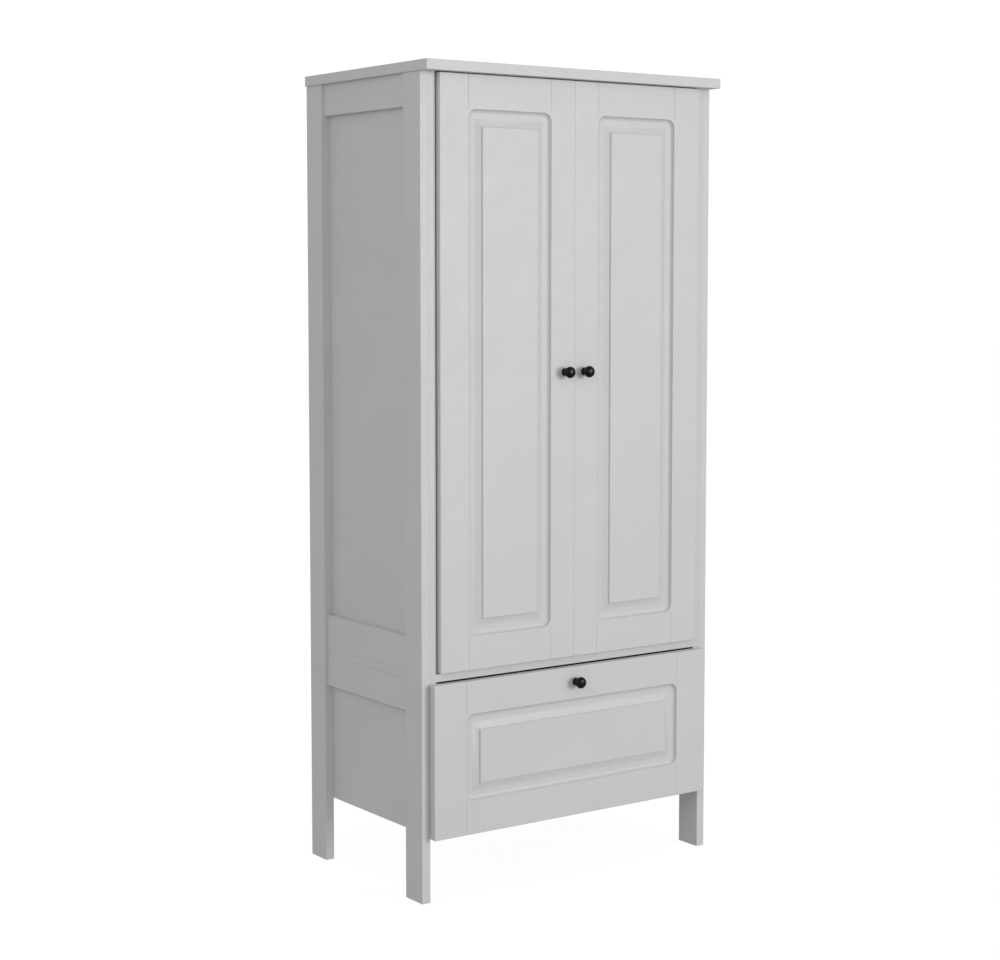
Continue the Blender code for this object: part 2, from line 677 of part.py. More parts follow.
# ---------------------------------------------------------------------- drawer
def channel(side, web_x, reach, half, y_range):
    """A C-shaped runner member: its web at web_x and its two flanges towards reach, along Y."""
    sheet = math.copysign(RUNNER_SHEET, reach)
    profile = [(web_x, -half), (web_x + reach, -half), (web_x + reach, RUNNER_SHEET - half),
               (web_x + sheet, RUNNER_SHEET - half), (web_x + sheet, half - RUNNER_SHEET),
               (web_x + reach, half - RUNNER_SHEET), (web_x + reach, half), (web_x, half)]
    bm = prism([(side * x, -z) for x, z in profile], y_range[0], y_range[1])
    lay_down = Matrix.Translation((0, 0, RUNNER_Z)) @ Matrix.Rotation(-math.pi / 2, 4, "X")
    bmesh.ops.transform(bm, verts=bm.verts, matrix=lay_down)
    return bm


def make_runners(finish, parent):
    start, end = FRONT + RUNNER_START, FRONT + DRAWER_BOX_DEPTH
    for word, side in SIDES:
        fixed = channel(side, BOARD_INSIDE - GAP, -RUNNER_REACH - RUNNER_SHEET, RUNNER_HALF,
                        (start, end))
        make_object(f"runner_fixed_{word}", fixed, finish)
        moving = channel(side, DRAWER_BOX_HALF + GAP, RUNNER_REACH + RUNNER_SHEET,
                         RUNNER_HALF - RUNNER_SHEET - RUNNER_PLAY, (start, end))
        make_object(f"runner_moving_{word}", moving, finish, parent)


def make_drawer_box(finish, parent):
    """Sides with a groove for the base, the base and the back board."""
    start, end = DRAWER_BACK_FACE + GAP, FRONT + DRAWER_BOX_DEPTH
    outer, inner = DRAWER_BOX_HALF, DRAWER_BOX_HALF - DRAWER_BOARD
    groove_depth, groove_height = GROOVE
    for word, side in SIDES:
        piece = side_board(f"drawer_side_{word}", side, (inner, outer), (start, end),
                           (DRAWER_BOX_BOTTOM, DRAWER_BOX_TOP), finish)
        near, far = sorted((side * (inner - OVERCUT), side * (inner + groove_depth)))
        carve(piece, block((near, start - OVERCUT, GROOVE_BOTTOM),
                           (far, end + OVERCUT, GROOVE_BOTTOM + groove_height)))
        hang_from(parent, piece)
    base_half = inner + groove_depth - 2 * GAP
    low = GROOVE_BOTTOM + GAP
    board("drawer_bottom", (-base_half, start, low), (base_half, end, low + DRAWER_BASE), finish, parent,
          edge=THIN_EDGE)
    board("drawer_back", (-inner + GAP, end - DRAWER_BOARD, low + DRAWER_BASE + GAP),
          (inner - GAP, end, DRAWER_BOX_TOP), finish, parent)


def make_drawer(finishes):
    """The drawer. Its empty stands where the front's back face meets the runners' height."""
    slide = empty("drawer_axis", (0, DRAWER_BACK_FACE, RUNNER_Z))
    half = DRAWER_FRONT_HALF
    front = panelled_front(
        "drawer_front", (-half, DRAWER_FRONT_BOTTOM), (half, DRAWER_FRONT_TOP), DRAWER_FACE,
        DRAWER_THICKNESS, (DRAWER_STILE - half, DRAWER_FRONT_BOTTOM + DRAWER_RAIL_BOTTOM),
        (half - DRAWER_STILE, DRAWER_FRONT_TOP - DRAWER_RAIL_TOP), finishes["paint"], slide)
    add_knob("drawer", front, 0, DRAWER_FACE, DRAWER_KNOB_Z, DRAWER_THICKNESS, finishes, slide)
    make_drawer_box(finishes["drawer"], slide)
    make_runners(finishes["zinc"], slide)


def main():
    for old in list(bpy.data.objects):
        bpy.data.objects.remove(old)
    finishes = make_materials()
    make_top_panel(finishes["paint"])
    make_posts(finishes["paint"])
    make_side_rails(finishes["paint"])
    make_side_boards(finishes["paint"])
    make_floor_board(finishes["paint"])
    make_back_panels(finishes["hardboard"])
    make_cross_rails(finishes["paint"])
    make_hat_shelf(finishes["paint"], finishes["nickel"])
    make_clothes_rail(finishes["chrome"])
    for word, side in SIDES:
        make_door(word, side, finishes)
    make_drawer(finishes)


main()
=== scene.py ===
import json
import math

import bmesh
import bpy
from bpy.props import FloatProperty, FloatVectorProperty, PointerProperty
from mathutils import Matrix, Vector

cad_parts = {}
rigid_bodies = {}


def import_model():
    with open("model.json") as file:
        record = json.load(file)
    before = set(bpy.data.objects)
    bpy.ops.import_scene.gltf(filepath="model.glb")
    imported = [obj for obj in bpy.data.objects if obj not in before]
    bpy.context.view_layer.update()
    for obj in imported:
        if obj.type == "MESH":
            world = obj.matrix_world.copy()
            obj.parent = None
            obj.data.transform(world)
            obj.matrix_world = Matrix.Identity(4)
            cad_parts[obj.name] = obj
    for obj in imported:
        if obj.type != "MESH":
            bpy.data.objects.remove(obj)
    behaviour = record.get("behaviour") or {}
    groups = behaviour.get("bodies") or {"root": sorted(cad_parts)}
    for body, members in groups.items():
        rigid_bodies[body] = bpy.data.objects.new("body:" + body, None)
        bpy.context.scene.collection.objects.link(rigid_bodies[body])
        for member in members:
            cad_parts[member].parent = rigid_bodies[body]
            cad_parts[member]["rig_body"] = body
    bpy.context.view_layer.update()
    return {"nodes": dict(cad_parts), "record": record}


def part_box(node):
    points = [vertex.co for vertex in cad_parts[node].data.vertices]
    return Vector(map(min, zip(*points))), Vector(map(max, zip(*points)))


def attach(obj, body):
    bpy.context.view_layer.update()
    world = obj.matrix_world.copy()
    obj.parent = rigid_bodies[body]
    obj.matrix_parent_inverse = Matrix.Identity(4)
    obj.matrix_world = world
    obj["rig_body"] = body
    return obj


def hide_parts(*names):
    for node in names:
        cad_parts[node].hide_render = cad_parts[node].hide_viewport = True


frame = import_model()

bl_info = {
    "name": "Panelled Wardrobe",
    "version": (1, 0, 0),
    "blender": (4, 5, 0),
    "location": "3D View > Sidebar > Wardrobe",
    "description": "Finishes a wardrobe's boards, doors, drawer and fittings on its plain frame",
    "category": "Object",
}

SLOT_OF = {row["node"]: row["material_slot"] for row in frame["record"]["subparts"]}
SIDES = (("left", -1), ("right", 1))
HINGE_PLACES = ("bottom", "middle", "top")
# How far a cutter reaches past what it cuts
OVERCUT = 0.005
# Two faces that meet at less than this are shaded as one curve
SMOOTH_UNDER = math.radians(40)
FRONT_SMOOTH_UNDER = math.radians(21)
# A face is flat-shaded where its normal lies this closely along an axis
SQUARE_ON = 0.99999
# Nearly all of a noise pattern lies between these two values
PATTERN_RANGE = (0.3, 0.7)


def linear(colour):
    """Linear red, green and blue of an sRGB hex value."""
    channels = [(colour >> shift & 0xFF) / 0xFF for shift in (16, 8, 0)]
    return tuple(c / 12.92 if c <= 0.04045 else ((c + 0.055) / 1.055) ** 2.4 for c in channels)


# -------------------------------------------------------------------- settings
def length(name, description, default):
    return FloatProperty(name=name, description=description, default=default, min=0, unit="LENGTH",
                         precision=4)


def colour(name, description, default):
    return FloatVectorProperty(name=name, description=description, default=linear(default),
                               subtype="COLOR", min=0, max=1)


class WardrobeColours(bpy.types.PropertyGroup):
    """The colours of the finishes."""

    paint: colour("Paint", "Lacquer on the boards, the doors and the drawer front", 0xCDCDCD)
    paint_shade: colour("Paint, thin", "The lacquer where its coat is thinnest", 0xCACACA)
    hardboard: colour("Hardboard", "Roller-coated back panels and drawer base", 0xC8C8C6)
    foil: colour("Foil", "Foil on the drawer's sides and back", 0xD0D0CE)
    knob: colour("Knobs", "Black lacquer on the knobs", 0x070707)
    nickel: colour("Nickel", "Nickel plate on hinges and shelf pins", 0xCAC6C0)
    zinc: colour("Zinc", "Zinc plate on runners and screws", 0xBFC2C6)
    chrome: colour("Chrome", "Chrome plate on the clothes rail", 0xDADBDD)
    nylon: colour("Nylon", "Runner wheels and door buffers", 0xE6E5E0)


class WardrobeSizes(bpy.types.PropertyGroup):
    """The sizes that shape the fronts and the boards' edges."""

    board_edge: length("Board edge", "Radius of a board's eased edges", 0.0004)
    front_edge: length("Front edge", "Radius round the edge of a door or the drawer front", 0.0010)
    meeting_edge: length("Meeting edge", "Radius where the two doors meet", 0.0002)
    corner_radius: length("Border corner", "Radius of the routed border's outer corners", 0.018)
    lip: length("Lip", "Radius where the face turns down into the border", 0.0010)
    cove_width: length("Cove width", "Width of the border's hollow outer part", 0.0085)
    cove_depth: length("Cove depth", "Depth of the border's hollow outer part", 0.0080)
    floor_end: length("Floor end", "Where the border's floor ends, from the outer edge", 0.0195)
    bevel_end: length("Bevel end", "Where the border's bevel ends, from the outer edge", 0.0343)
    bevel_depth: length("Bevel depth", "Depth of the border's bevel where it ends", 0.0032)
    field_start: length("Field", "Where the raised field starts, from the outer edge", 0.0357)
    v_line_width: length("V-line width", "Width of the lines on the rails", 0.002)
    v_line_depth: length("V-line depth", "Depth of the lines on the rails", 0.0008)
    v_line_offset: length("V-line offset", "How far outside the border a line stands", 0.0005)
    door_stile_outer: length("Hinge stile", "From a door's hinge edge to its border", 0.0713)
    door_stile_inner: length("Meeting stile", "From a door's meeting edge to its border", 0.0627)
    door_rail: length("Door rail", "From a door's top or bottom to its border", 0.0715)
    drawer_stile: length("Drawer stile", "From the drawer front's end to its border", 0.0805)
    drawer_rail_bottom: length("Drawer rail, bottom", "From its bottom to the border", 0.0725)
    drawer_rail_top: length("Drawer rail, top", "From its top to the border", 0.0707)


class WardrobeStudio(bpy.types.PropertyGroup):
    """The camera and the light."""

    turn: FloatProperty(name="Turn", description="How far to the right of straight on it looks",
                        default=math.radians(35.218), subtype="ANGLE")
    tilt: FloatProperty(name="Tilt", description="How far down it looks",
                        default=math.radians(4.698), subtype="ANGLE")
    distance: length("Distance", "From the camera to the point that it looks at", 4.569)
    aim: FloatVectorProperty(name="Aim", description="The point that the camera looks at",
                             default=(-0.0284, 0.0198, 0.9481), subtype="XYZ", unit="LENGTH")
    lens: FloatProperty(name="Lens", description="Focal length", default=73.366, unit="CAMERA")
    shift: FloatProperty(name="Shift", description="How far up the lens is shifted",
                         default=-0.043)
    key: FloatProperty(name="Key light", description="Power of the lamp in front", default=318,
                       unit="POWER")
    fill: FloatProperty(name="Fill light", description="Power of the lamp at the left", default=23,
                        unit="POWER")
    ambient: FloatProperty(name="Ambient", description="Light from all round", default=0.54, min=0)


# ------------------------------------------------------------------- materials
def palette():
    return bpy.context.scene.wardrobe_colours


def set_inputs(node, **inputs):
    """Sets a node's inputs to plain values, or to the sockets that feed them. An underscore in an
    input's name stands for a space."""
    for name, value in inputs.items():
        socket = node.inputs[name.replace("_", " ")]
        if isinstance(value, bpy.types.NodeSocket):
            node.id_data.links.new(value, socket)
        else:
            socket.default_value = value


def add_node(tree, kind, **inputs):
    node = tree.nodes.new(kind)
    set_inputs(node, **inputs)
    return node


def per_metre(millimetres):
    """A pattern's scale from the size of what repeats in it."""
    return 1000 / millimetres


def tint(shader, pattern, low, high):
    """Lets a pattern blend the base colour from one colour to another."""
    ramp = add_node(shader.id_data, "ShaderNodeValToRGB", Fac=pattern)
    for stop, position, shade in zip(ramp.color_ramp.elements, PATTERN_RANGE, (low, high)):
        stop.position = position
        stop.color = (*shade, 1)
    set_inputs(shader, Base_Color=ramp.outputs["Color"])


def roughen(shader, pattern, low, high):
    """Lets a pattern move the roughness between two values."""
    spread = add_node(shader.id_data, "ShaderNodeMapRange", Value=pattern, To_Min=low, To_Max=high,
                      From_Min=PATTERN_RANGE[0], From_Max=PATTERN_RANGE[1])
    set_inputs(shader, Roughness=spread.outputs["Result"])


def emboss(shader, pattern, depth):
    """Lets a pattern raise the surface by up to a depth in millimetres."""
    bump = add_node(shader.id_data, "ShaderNodeBump", Height=pattern, Distance=depth / 1000)
    set_inputs(shader, Normal=bump.outputs["Normal"])


def lacquered_fibreboard(tree, shader, place):
    """Satin two-pack lacquer sprayed on sanded fibreboard.

    It has a soft, wide highlight and the faint ripple of a sprayed coat, and no grain. The ripple
    is 2 mm across on a real board, and is drawn at 7 mm so that it shows.
    """
    colours = palette()
    set_inputs(shader, Base_Color=(*colours.paint, 1), IOR=1.5)
    cloud = add_node(tree, "ShaderNodeTexNoise", Vector=place, Scale=per_metre(180),
                     Detail=3.0).outputs["Fac"]
    tint(shader, cloud, colours.paint_shade, colours.paint)
    mist = add_node(tree, "ShaderNodeTexNoise", Vector=place, Scale=per_metre(24),
                    Detail=4.0).outputs["Fac"]
    roughen(shader, mist, 0.42, 0.5)
    ripple = add_node(tree, "ShaderNodeTexNoise", Vector=place, Scale=per_metre(7), Detail=2.0,
                      Roughness=0.4).outputs["Fac"]
    emboss(shader, ripple, 0.03)


def coated_hardboard(tree, shader, place):
    """Pressed hardboard, roller-coated on its smooth face: duller, with a short fibre texture."""
    base = palette().hardboard
    set_inputs(shader, Base_Color=(*base, 1), IOR=1.48)
    fibres = add_node(tree, "ShaderNodeTexNoise", Vector=place, Scale=per_metre(3), Detail=5.0,
                      Distortion=1.2).outputs["Fac"]
    tint(shader, fibres, [c * 0.96 for c in base], base)
    roughen(shader, fibres, 0.55, 0.68)
    emboss(shader, fibres, 0.08)


def foil_wrapped_board(tree, shader, place):
    """Printed foil on chipboard: an even matt sheet with fine pressed pores along its length."""
    base = palette().foil
    set_inputs(shader, Base_Color=(*base, 1), IOR=1.47)
    along = add_node(tree, "ShaderNodeMapping", Vector=place, Scale=(1, 0.08, 1))
    pores = add_node(tree, "ShaderNodeTexNoise", Vector=along.outputs["Vector"],
                     Scale=per_metre(1.6), Detail=3.0).outputs["Fac"]
    tint(shader, pores, [c * 0.97 for c in base], base)
    roughen(shader, pores, 0.5, 0.6)
    emboss(shader, pores, 0.05)


def black_lacquered_beech(tree, shader, place):
    """Turned beech under black satin lacquer: near black, with one soft highlight on each curve."""
    base = palette().knob
    set_inputs(shader, Base_Color=(*base, 1), IOR=1.3)
    rings = add_node(tree, "ShaderNodeTexNoise", Vector=place, Scale=per_metre(2.5),
                     Detail=2.0).outputs["Fac"]
    roughen(shader, rings, 0.2, 0.27)
    emboss(shader, rings, 0.02)


def nickel_plated_steel(tree, shader, place):
    """Pressed steel with bright nickel plate: warm grey metal with faint marks of the press."""
    base = palette().nickel
    set_inputs(shader, Base_Color=(*base, 1), Metallic=1.0)
    marks = add_node(tree, "ShaderNodeTexNoise", Vector=place, Scale=per_metre(4),
                     Detail=4.0).outputs["Fac"]
    roughen(shader, marks, 0.2, 0.32)
    emboss(shader, marks, 0.02)


def zinc_plated_steel(tree, shader, place):
    """Folded steel with pale zinc plate: cool grey with a patchy spangle of crystals."""
    base = palette().zinc
    set_inputs(shader, Base_Color=(*base, 1), Metallic=1.0)
    spangle = add_node(tree, "ShaderNodeTexVoronoi", Vector=place, Scale=per_metre(5))
    shade = add_node(tree, "ShaderNodeSeparateColor", Color=spangle.outputs["Color"])
    tint(shader, shade.outputs["Red"], [c * 0.9 for c in base], base)
    roughen(shader, shade.outputs["Green"], 0.32, 0.44)


def chrome_plated_tube(tree, shader, place):
    """Polished tube with chrome plate: a mirror with the faintest drawing lines along it."""
    base = palette().chrome
    set_inputs(shader, Base_Color=(*base, 1), Metallic=1.0)
    along = add_node(tree, "ShaderNodeMapping", Vector=place, Scale=(0.02, 1, 1))
    lines = add_node(tree, "ShaderNodeTexNoise", Vector=along.outputs["Vector"],
                     Scale=per_metre(0.8), Detail=2.0).outputs["Fac"]
    roughen(shader, lines, 0.07, 0.13)


def moulded_nylon(tree, shader, place):
    """Injection-moulded nylon: creamy white and waxy, with a light spark texture."""
    base = palette().nylon
    set_inputs(shader, Base_Color=(*base, 1), IOR=1.53)
    sparks = add_node(tree, "ShaderNodeTexNoise", Vector=place, Scale=per_metre(0.6),
                      Detail=1.0).outputs["Fac"]
    roughen(shader, sparks, 0.38, 0.5)
    emboss(shader, sparks, 0.02)


FINISH_OF_SLOT = {
    "paint": lacquered_fibreboard,
    "hardboard": coated_hardboard,
    "drawer_board": foil_wrapped_board,
    "black": black_lacquered_beech,
    "nickel": nickel_plated_steel,
    "zinc": zinc_plated_steel,
    "chrome": chrome_plated_tube,
}


def finish_from(maker):
    """The material that a maker function sets up, made when it is first asked for."""
    finish = bpy.data.materials.get(maker.__name__)
    if not finish:
        finish = bpy.data.materials.new(maker.__name__)
        finish.use_nodes = True
        tree = finish.node_tree
        place = add_node(tree, "ShaderNodeTexCoord").outputs["Object"]
        maker(tree, tree.nodes["Principled BSDF"], place)
    return finish


# ----------------------------------------------------------------- mesh making
def cube(low, high):
    """A plain box between two corners."""
    low, high = Vector(low), Vector(high)
    bm = bmesh.new()
    place = Matrix.Translation((low + high) / 2) @ Matrix.Diagonal((*(high - low), 1))
    bmesh.ops.create_cube(bm, size=1, matrix=place)
    return bm


def ease(bm, radius, segments=3, edges=None):
    """Rounds a mesh's edges."""
    bmesh.ops.bevel(bm, geom=edges or bm.edges[:], offset=radius, segments=segments, profile=0.5,
                    affect="EDGES", clamp_overlap=True)
    return bm


def rod(radius, start, end, steps=32):
    """A round rod between two points."""
    start, end = Vector(start), Vector(end)
    turn = (end - start).to_track_quat("Z", "Y").to_matrix().to_4x4()
    bm = bmesh.new()
    bmesh.ops.create_cone(bm, cap_ends=True, segments=steps, radius1=radius, radius2=radius,
                          depth=(end - start).length,
                          matrix=Matrix.Translation((start + end) / 2) @ turn)
    return bm


def turned(profile, steps, closed=False):
    """Turns (radius, height) points about Z. An open profile starts and ends on the axis."""
    bm = bmesh.new()
    rings = []
    for radius, height in profile:
        turns = [2 * math.pi * step / steps for step in range(steps)] if radius else [0]
        rings.append([bm.verts.new((radius * math.cos(turn), radius * math.sin(turn), height))
                      for turn in turns])
    pairs = list(zip(rings, rings[1:]))
    if closed:
        pairs.append((rings[-1], rings[0]))
    for lower, upper in pairs:
        for i in range(steps):
            j = (i + 1) % steps
            corners = (lower[i % len(lower)], lower[j % len(lower)],
                       upper[j % len(upper)], upper[i % len(upper)])
            bm.faces.new(tuple(dict.fromkeys(corners)))
    bmesh.ops.recalc_face_normals(bm, faces=bm.faces)
    return bm


def prism(outline, low, high):
    """An outline in X and Y, raised from one height to another."""
    bm = bmesh.new()
    base = bm.faces.new([bm.verts.new((x, y, low)) for x, y in outline])
    grown = bmesh.ops.extrude_face_region(bm, geom=[base])["geom"]
    top = [item for item in grown if isinstance(item, bmesh.types.BMVert)]
    bmesh.ops.translate(bm, verts=top, vec=(0, 0, high - low))
    bmesh.ops.recalc_face_normals(bm, faces=bm.faces)
    return bm


def moved(bm, matrix):
    bmesh.ops.transform(bm, verts=bm.verts, matrix=matrix)
    return bm


def towards(direction, place):
    """The matrix that lays a turned shape down, its height along a direction, at a place."""
    turn = Vector(direction).to_track_quat("Z", "Y").to_matrix().to_4x4()
    return Matrix.Translation(place) @ turn


def merged(parts):
    """One bmesh that holds several loose ones."""
    whole = bmesh.new()
    for part in parts:
        mesh = bpy.data.meshes.new("part")
        part.to_mesh(mesh)
        part.free()
        whole.from_mesh(mesh)
        bpy.data.meshes.remove(mesh)
    return whole


def carve(bm, cutters, operation="DIFFERENCE"):
    """Cuts closed bmeshes out of another one, or welds them on, and returns what comes out."""
    pair = []
    for part in (bm, merged(cutters)):
        mesh = bpy.data.meshes.new("carving")
        part.to_mesh(mesh)
        part.free()
        pair.append(bpy.data.objects.new("carving", mesh))
        bpy.context.scene.collection.objects.link(pair[-1])
    boolean = pair[0].modifiers.new("carve", "BOOLEAN")
    boolean.operation = operation
    boolean.solver = "EXACT"
    boolean.object = pair[1]
    bpy.context.view_layer.update()
    result = pair[0].evaluated_get(bpy.context.evaluated_depsgraph_get()).to_mesh()
    carved = bmesh.new()
    carved.from_mesh(result)
    for piece in pair:
        mesh = piece.data
        bpy.data.objects.remove(piece)
        bpy.data.meshes.remove(mesh)
    return carved


def centre_of(node):
    low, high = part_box(node)
    return (low + high) / 2


def place_piece(name, bm, finish, body, slot=None, nodes=()):
    """A finished piece from a bmesh in its own place. Its origin is the middle of its box."""
    low, high = [Vector([pick(vert.co[axis] for vert in bm.verts) for axis in range(3)])
                 for pick in (min, max)]
    middle = (low + high) / 2
    moved(bm, Matrix.Translation(-middle))
    mesh = bpy.data.meshes.new(name)
    bm.to_mesh(mesh)
    bm.free()
    mesh.materials.append(finish_from(finish))
    mesh.shade_smooth()
    mesh.set_sharp_from_angle(angle=SMOOTH_UNDER)
    for face in mesh.polygons:
        face.use_smooth = max(abs(part) for part in face.normal) < SQUARE_ON
    piece = bpy.data.objects.new(name, mesh)
    bpy.context.scene.collection.objects.link(piece)
    piece.location = middle
    flats = piece.modifiers.new("flat faces stay flat", "WEIGHTED_NORMAL")
    flats.keep_sharp = True
    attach(piece, body)
    if nodes:
        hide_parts(*nodes)
    return piece


def finish_node(node, bm):
    """Puts a finely shaped piece in the place of one plain node, in the node's own finish."""
    slot = SLOT_OF[node]
    body = frame["nodes"][node]["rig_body"]
    return place_piece(f"{node}_finished", bm, FINISH_OF_SLOT[slot], body, slot, (node,))


# ---------------------------------------------------------------------- boards
PLAIN_BOARDS = (
    ["top_panel", "stretcher_front", "stretcher_back", "door_stop_rail", "hat_shelf"]
    + [f"post_{row}_{word}" for row in ("front", "back") for word, _ in SIDES]
    + [f"{row}_{word}" for row in ("top_rail", "waist_rail_upper", "waist_rail_lower")
       for word, _ in SIDES]
    + [f"side_board_lower_{word}" for word, _ in SIDES]
)
# The glued joints between boards are closed to a hair's breadth
SEAM_CLOSING = 0.00014
SHELF_PIN_HOLE = 0.0029
SHELF_PIN_HOLE_DEPTH = 0.0085


def eased_board(node, radius, growth=0.0):
    """A board as large as its node, or a little larger, with rounded edges."""
    low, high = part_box(node)
    grown = Vector((growth, growth, growth))
    return ease(cube(low - grown, high + grown), radius)


def drilled_side_board(word, side, radius):
    """An upper side board, with the holes that its shelf pins sit in."""
    node = f"side_board_upper_{word}"
    inside = min(abs(corner.x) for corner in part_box(node))
    holes = []
    for row in ("front", "back"):
        _, y, z = centre_of(f"shelf_pin_{row}_{word}")
        holes.append(rod(SHELF_PIN_HOLE, (side * (inside - OVERCUT), y, z),
                         (side * (inside + SHELF_PIN_HOLE_DEPTH), y, z)))
    return carve(eased_board(node, radius, SEAM_CLOSING), holes)


def floor_board_shape(radius):
    """The board under the hanging space, which reaches out between the side rails."""
    low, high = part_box("floor_board")
    inner = abs(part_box("side_board_upper_right")[1].x)
    post_front, post_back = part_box("post_front_right"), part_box("post_back_right")
    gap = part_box("waist_rail_upper_right")[0].y - post_front[1].y
    start, end = post_front[1].y + gap, post_back[0].y - gap
    right = [(inner, low.y), (inner, start), (high.x, start), (high.x, end), (inner, end),
             (inner, high.y)]
    left = [(-x, y) for x, y in reversed(right)]
    return ease(prism(right + left, low.z, high.z), radius)


class WARDROBE_OT_boards(bpy.types.Operator):
    """Makes the carcass's boards, posts and rails"""

    bl_idname = "wardrobe.boards"
    bl_label = "Boards"

    def execute(self, context):
        radius = context.scene.wardrobe_sizes.board_edge
        for node in PLAIN_BOARDS:
            finish_node(node, eased_board(node, radius, SEAM_CLOSING))
        for word, side in SIDES:
            finish_node(f"side_board_upper_{word}", drilled_side_board(word, side, radius))
        finish_node("floor_board", floor_board_shape(radius))
        return {"FINISHED"}


# ----------------------------------------------------------------- back panels
HARDBOARD_EDGE = 0.0003
NAIL_RADIUS = 0.0026
NAIL_HEIGHT = 0.0005
NAIL_SPACING = 0.12


def nail_head():
    profile = [(0, NAIL_HEIGHT), (NAIL_RADIUS * 0.7, NAIL_HEIGHT * 0.9),
               (NAIL_RADIUS, NAIL_HEIGHT * 0.3), (NAIL_RADIUS, -NAIL_HEIGHT), (0, -NAIL_HEIGHT)]
    return turned(profile, 12)


def nail_places(low, high, inset_x, inset_z):
    """Places in X and Z of the nails round a back panel, evenly spaced along each edge."""
    left, right = low.x + inset_x, high.x - inset_x
    bottom, top = low.z + inset_z, high.z - inset_z
    rows = max(2, round((top - bottom) / NAIL_SPACING))
    columns = max(2, round((right - left) / NAIL_SPACING))
    places = [(x, bottom + (top - bottom) * row / rows)
              for x in (left, right) for row in range(rows + 1)]
    places += [(left + (right - left) * column / columns, z)
               for z in (bottom, top) for column in range(1, columns)]
    return places


class WARDROBE_OT_back_panels(bpy.types.Operator):
    """Makes the back panels and the nails that hold them"""

    bl_idname = "wardrobe.back_panels"
    bl_label = "Back panels"

    def execute(self, context):
        side_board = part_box("side_board_upper_right")
        half_board = (side_board[1].x - side_board[0].x) / 2
        for row in ("lower", "upper"):
            node = f"back_panel_{row}"
            low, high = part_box(node)
            finish_node(node, eased_board(node, HARDBOARD_EDGE))
            nails = [moved(nail_head(), towards((0, 1, 0), (x, high.y, z)))
                     for x, z in nail_places(low, high, half_board, half_board)]
            place_piece(f"back_panel_nails_{row}", merged(nails), zinc_plated_steel, "carcass",
                        "zinc")
        return {"FINISHED"}


# ------------------------------------------------------------- panelled fronts
CORNER_STEPS = 12
# A corner with a radius below this is square
NO_RADIUS = 1e-5
EDGE_STEPS = 6
COVE_STEPS = 12
LIP_STEPS = 6
# How much closer the doors come than their boxes, so that no line shows between them
MEETING_CLOSING = 0.0002
FRONT_CORNER = 0.002
KNOB_HOLE_RADIUS = 0.0024
BUFFER_PLACES = (0.030, 0.290)
BUFFER_PROFILE = ((0, 0), (0.0042, 0), (0.0042, 0.0007), (0.0034, 0.0011), (0, 0.0012))


def rounded_rectangle(low, high, radius):
    """Points in X and Z round a rectangle, or its four corners where the radius is used up."""
    corners = [(high[0], high[1]), (low[0], high[1]), (low[0], low[1]), (high[0], low[1])]
    if radius < NO_RADIUS:
        return corners
    points = []
    for corner, (x, z) in enumerate(corners):
        in_x, in_z = (-1 if x == high[0] else 1), (-1 if z == high[1] else 1)
        for step in range(CORNER_STEPS + 1):
            angle = (corner + step / CORNER_STEPS) * math.pi / 2
            points.append((x + in_x * radius + radius * math.cos(angle),
                           z + in_z * radius + radius * math.sin(angle)))
    return points


def bridge(bm, outer, inner):
    """Faces between two loops of equal counts, or from a rounded one to one of four corners."""
    if len(outer) == len(inner):
        for i, vert in enumerate(outer):
            j = (i + 1) % len(outer)
            bm.faces.new((vert, outer[j], inner[j], inner[i]))
        return
    for corner in range(4):
        first = corner * (CORNER_STEPS + 1)
        last = first + CORNER_STEPS
        for i in range(first, last):
            bm.faces.new((inner[corner], outer[i], outer[i + 1]))
        bm.faces.new((inner[corner], outer[last], outer[(last + 1) % len(outer)],
                      inner[(corner + 1) % 4]))


def edge_rings(thickness, radius):
    """(distance in, depth) from the back face round the edge to the front face."""
    rings = []
    for step in range(EDGE_STEPS + 1):
        angle = step / EDGE_STEPS * math.pi / 2
        rings.append((radius * (1 - math.sin(angle)), thickness - radius * (1 - math.cos(angle))))
    for step in range(EDGE_STEPS + 1):
        angle = step / EDGE_STEPS * math.pi / 2
        rings.append((radius * (1 - math.cos(angle)), radius * (1 - math.sin(angle))))
    return rings


def border_rings(sizes):
    """(distance in, depth) from the lip down the cove, along the floor, past where the corners'
    radius is used up, and up the bevel and its small step to the field."""
    rings = []
    for step in range(LIP_STEPS):
        angle = step / LIP_STEPS * math.pi / 2
        rings.append((sizes.lip * (math.sin(angle) - 1), sizes.lip * (1 - math.cos(angle))))
    for step in range(COVE_STEPS + 1):
        angle = step / COVE_STEPS * math.pi / 2
        rings.append((sizes.cove_width * (1 - math.cos(angle)),
                      sizes.lip + (sizes.cove_depth - sizes.lip) * math.sin(angle)))
    rings += [(sizes.corner_radius, sizes.cove_depth), (sizes.floor_end, sizes.cove_depth),
              (sizes.bevel_end, sizes.bevel_depth)]
    ease_start = sizes.field_start - sizes.lip / 2
    for step in range(LIP_STEPS + 1):
        angle = step / LIP_STEPS * math.pi / 2
        rings.append((ease_start + sizes.lip / 2 * (1 - math.cos(angle)),
                      sizes.lip / 2 * (1 - math.sin(angle))))
    return rings


def v_line(x, bottom, top, face, sizes):
    """The cutter of one V-shaped line that runs up a rail."""
    half = sizes.v_line_width / 2
    reach = half + OVERCUT * half / sizes.v_line_depth
    return prism([(x - reach, face - OVERCUT), (x + reach, face - OVERCUT),
                  (x, face + sizes.v_line_depth)], bottom, top)


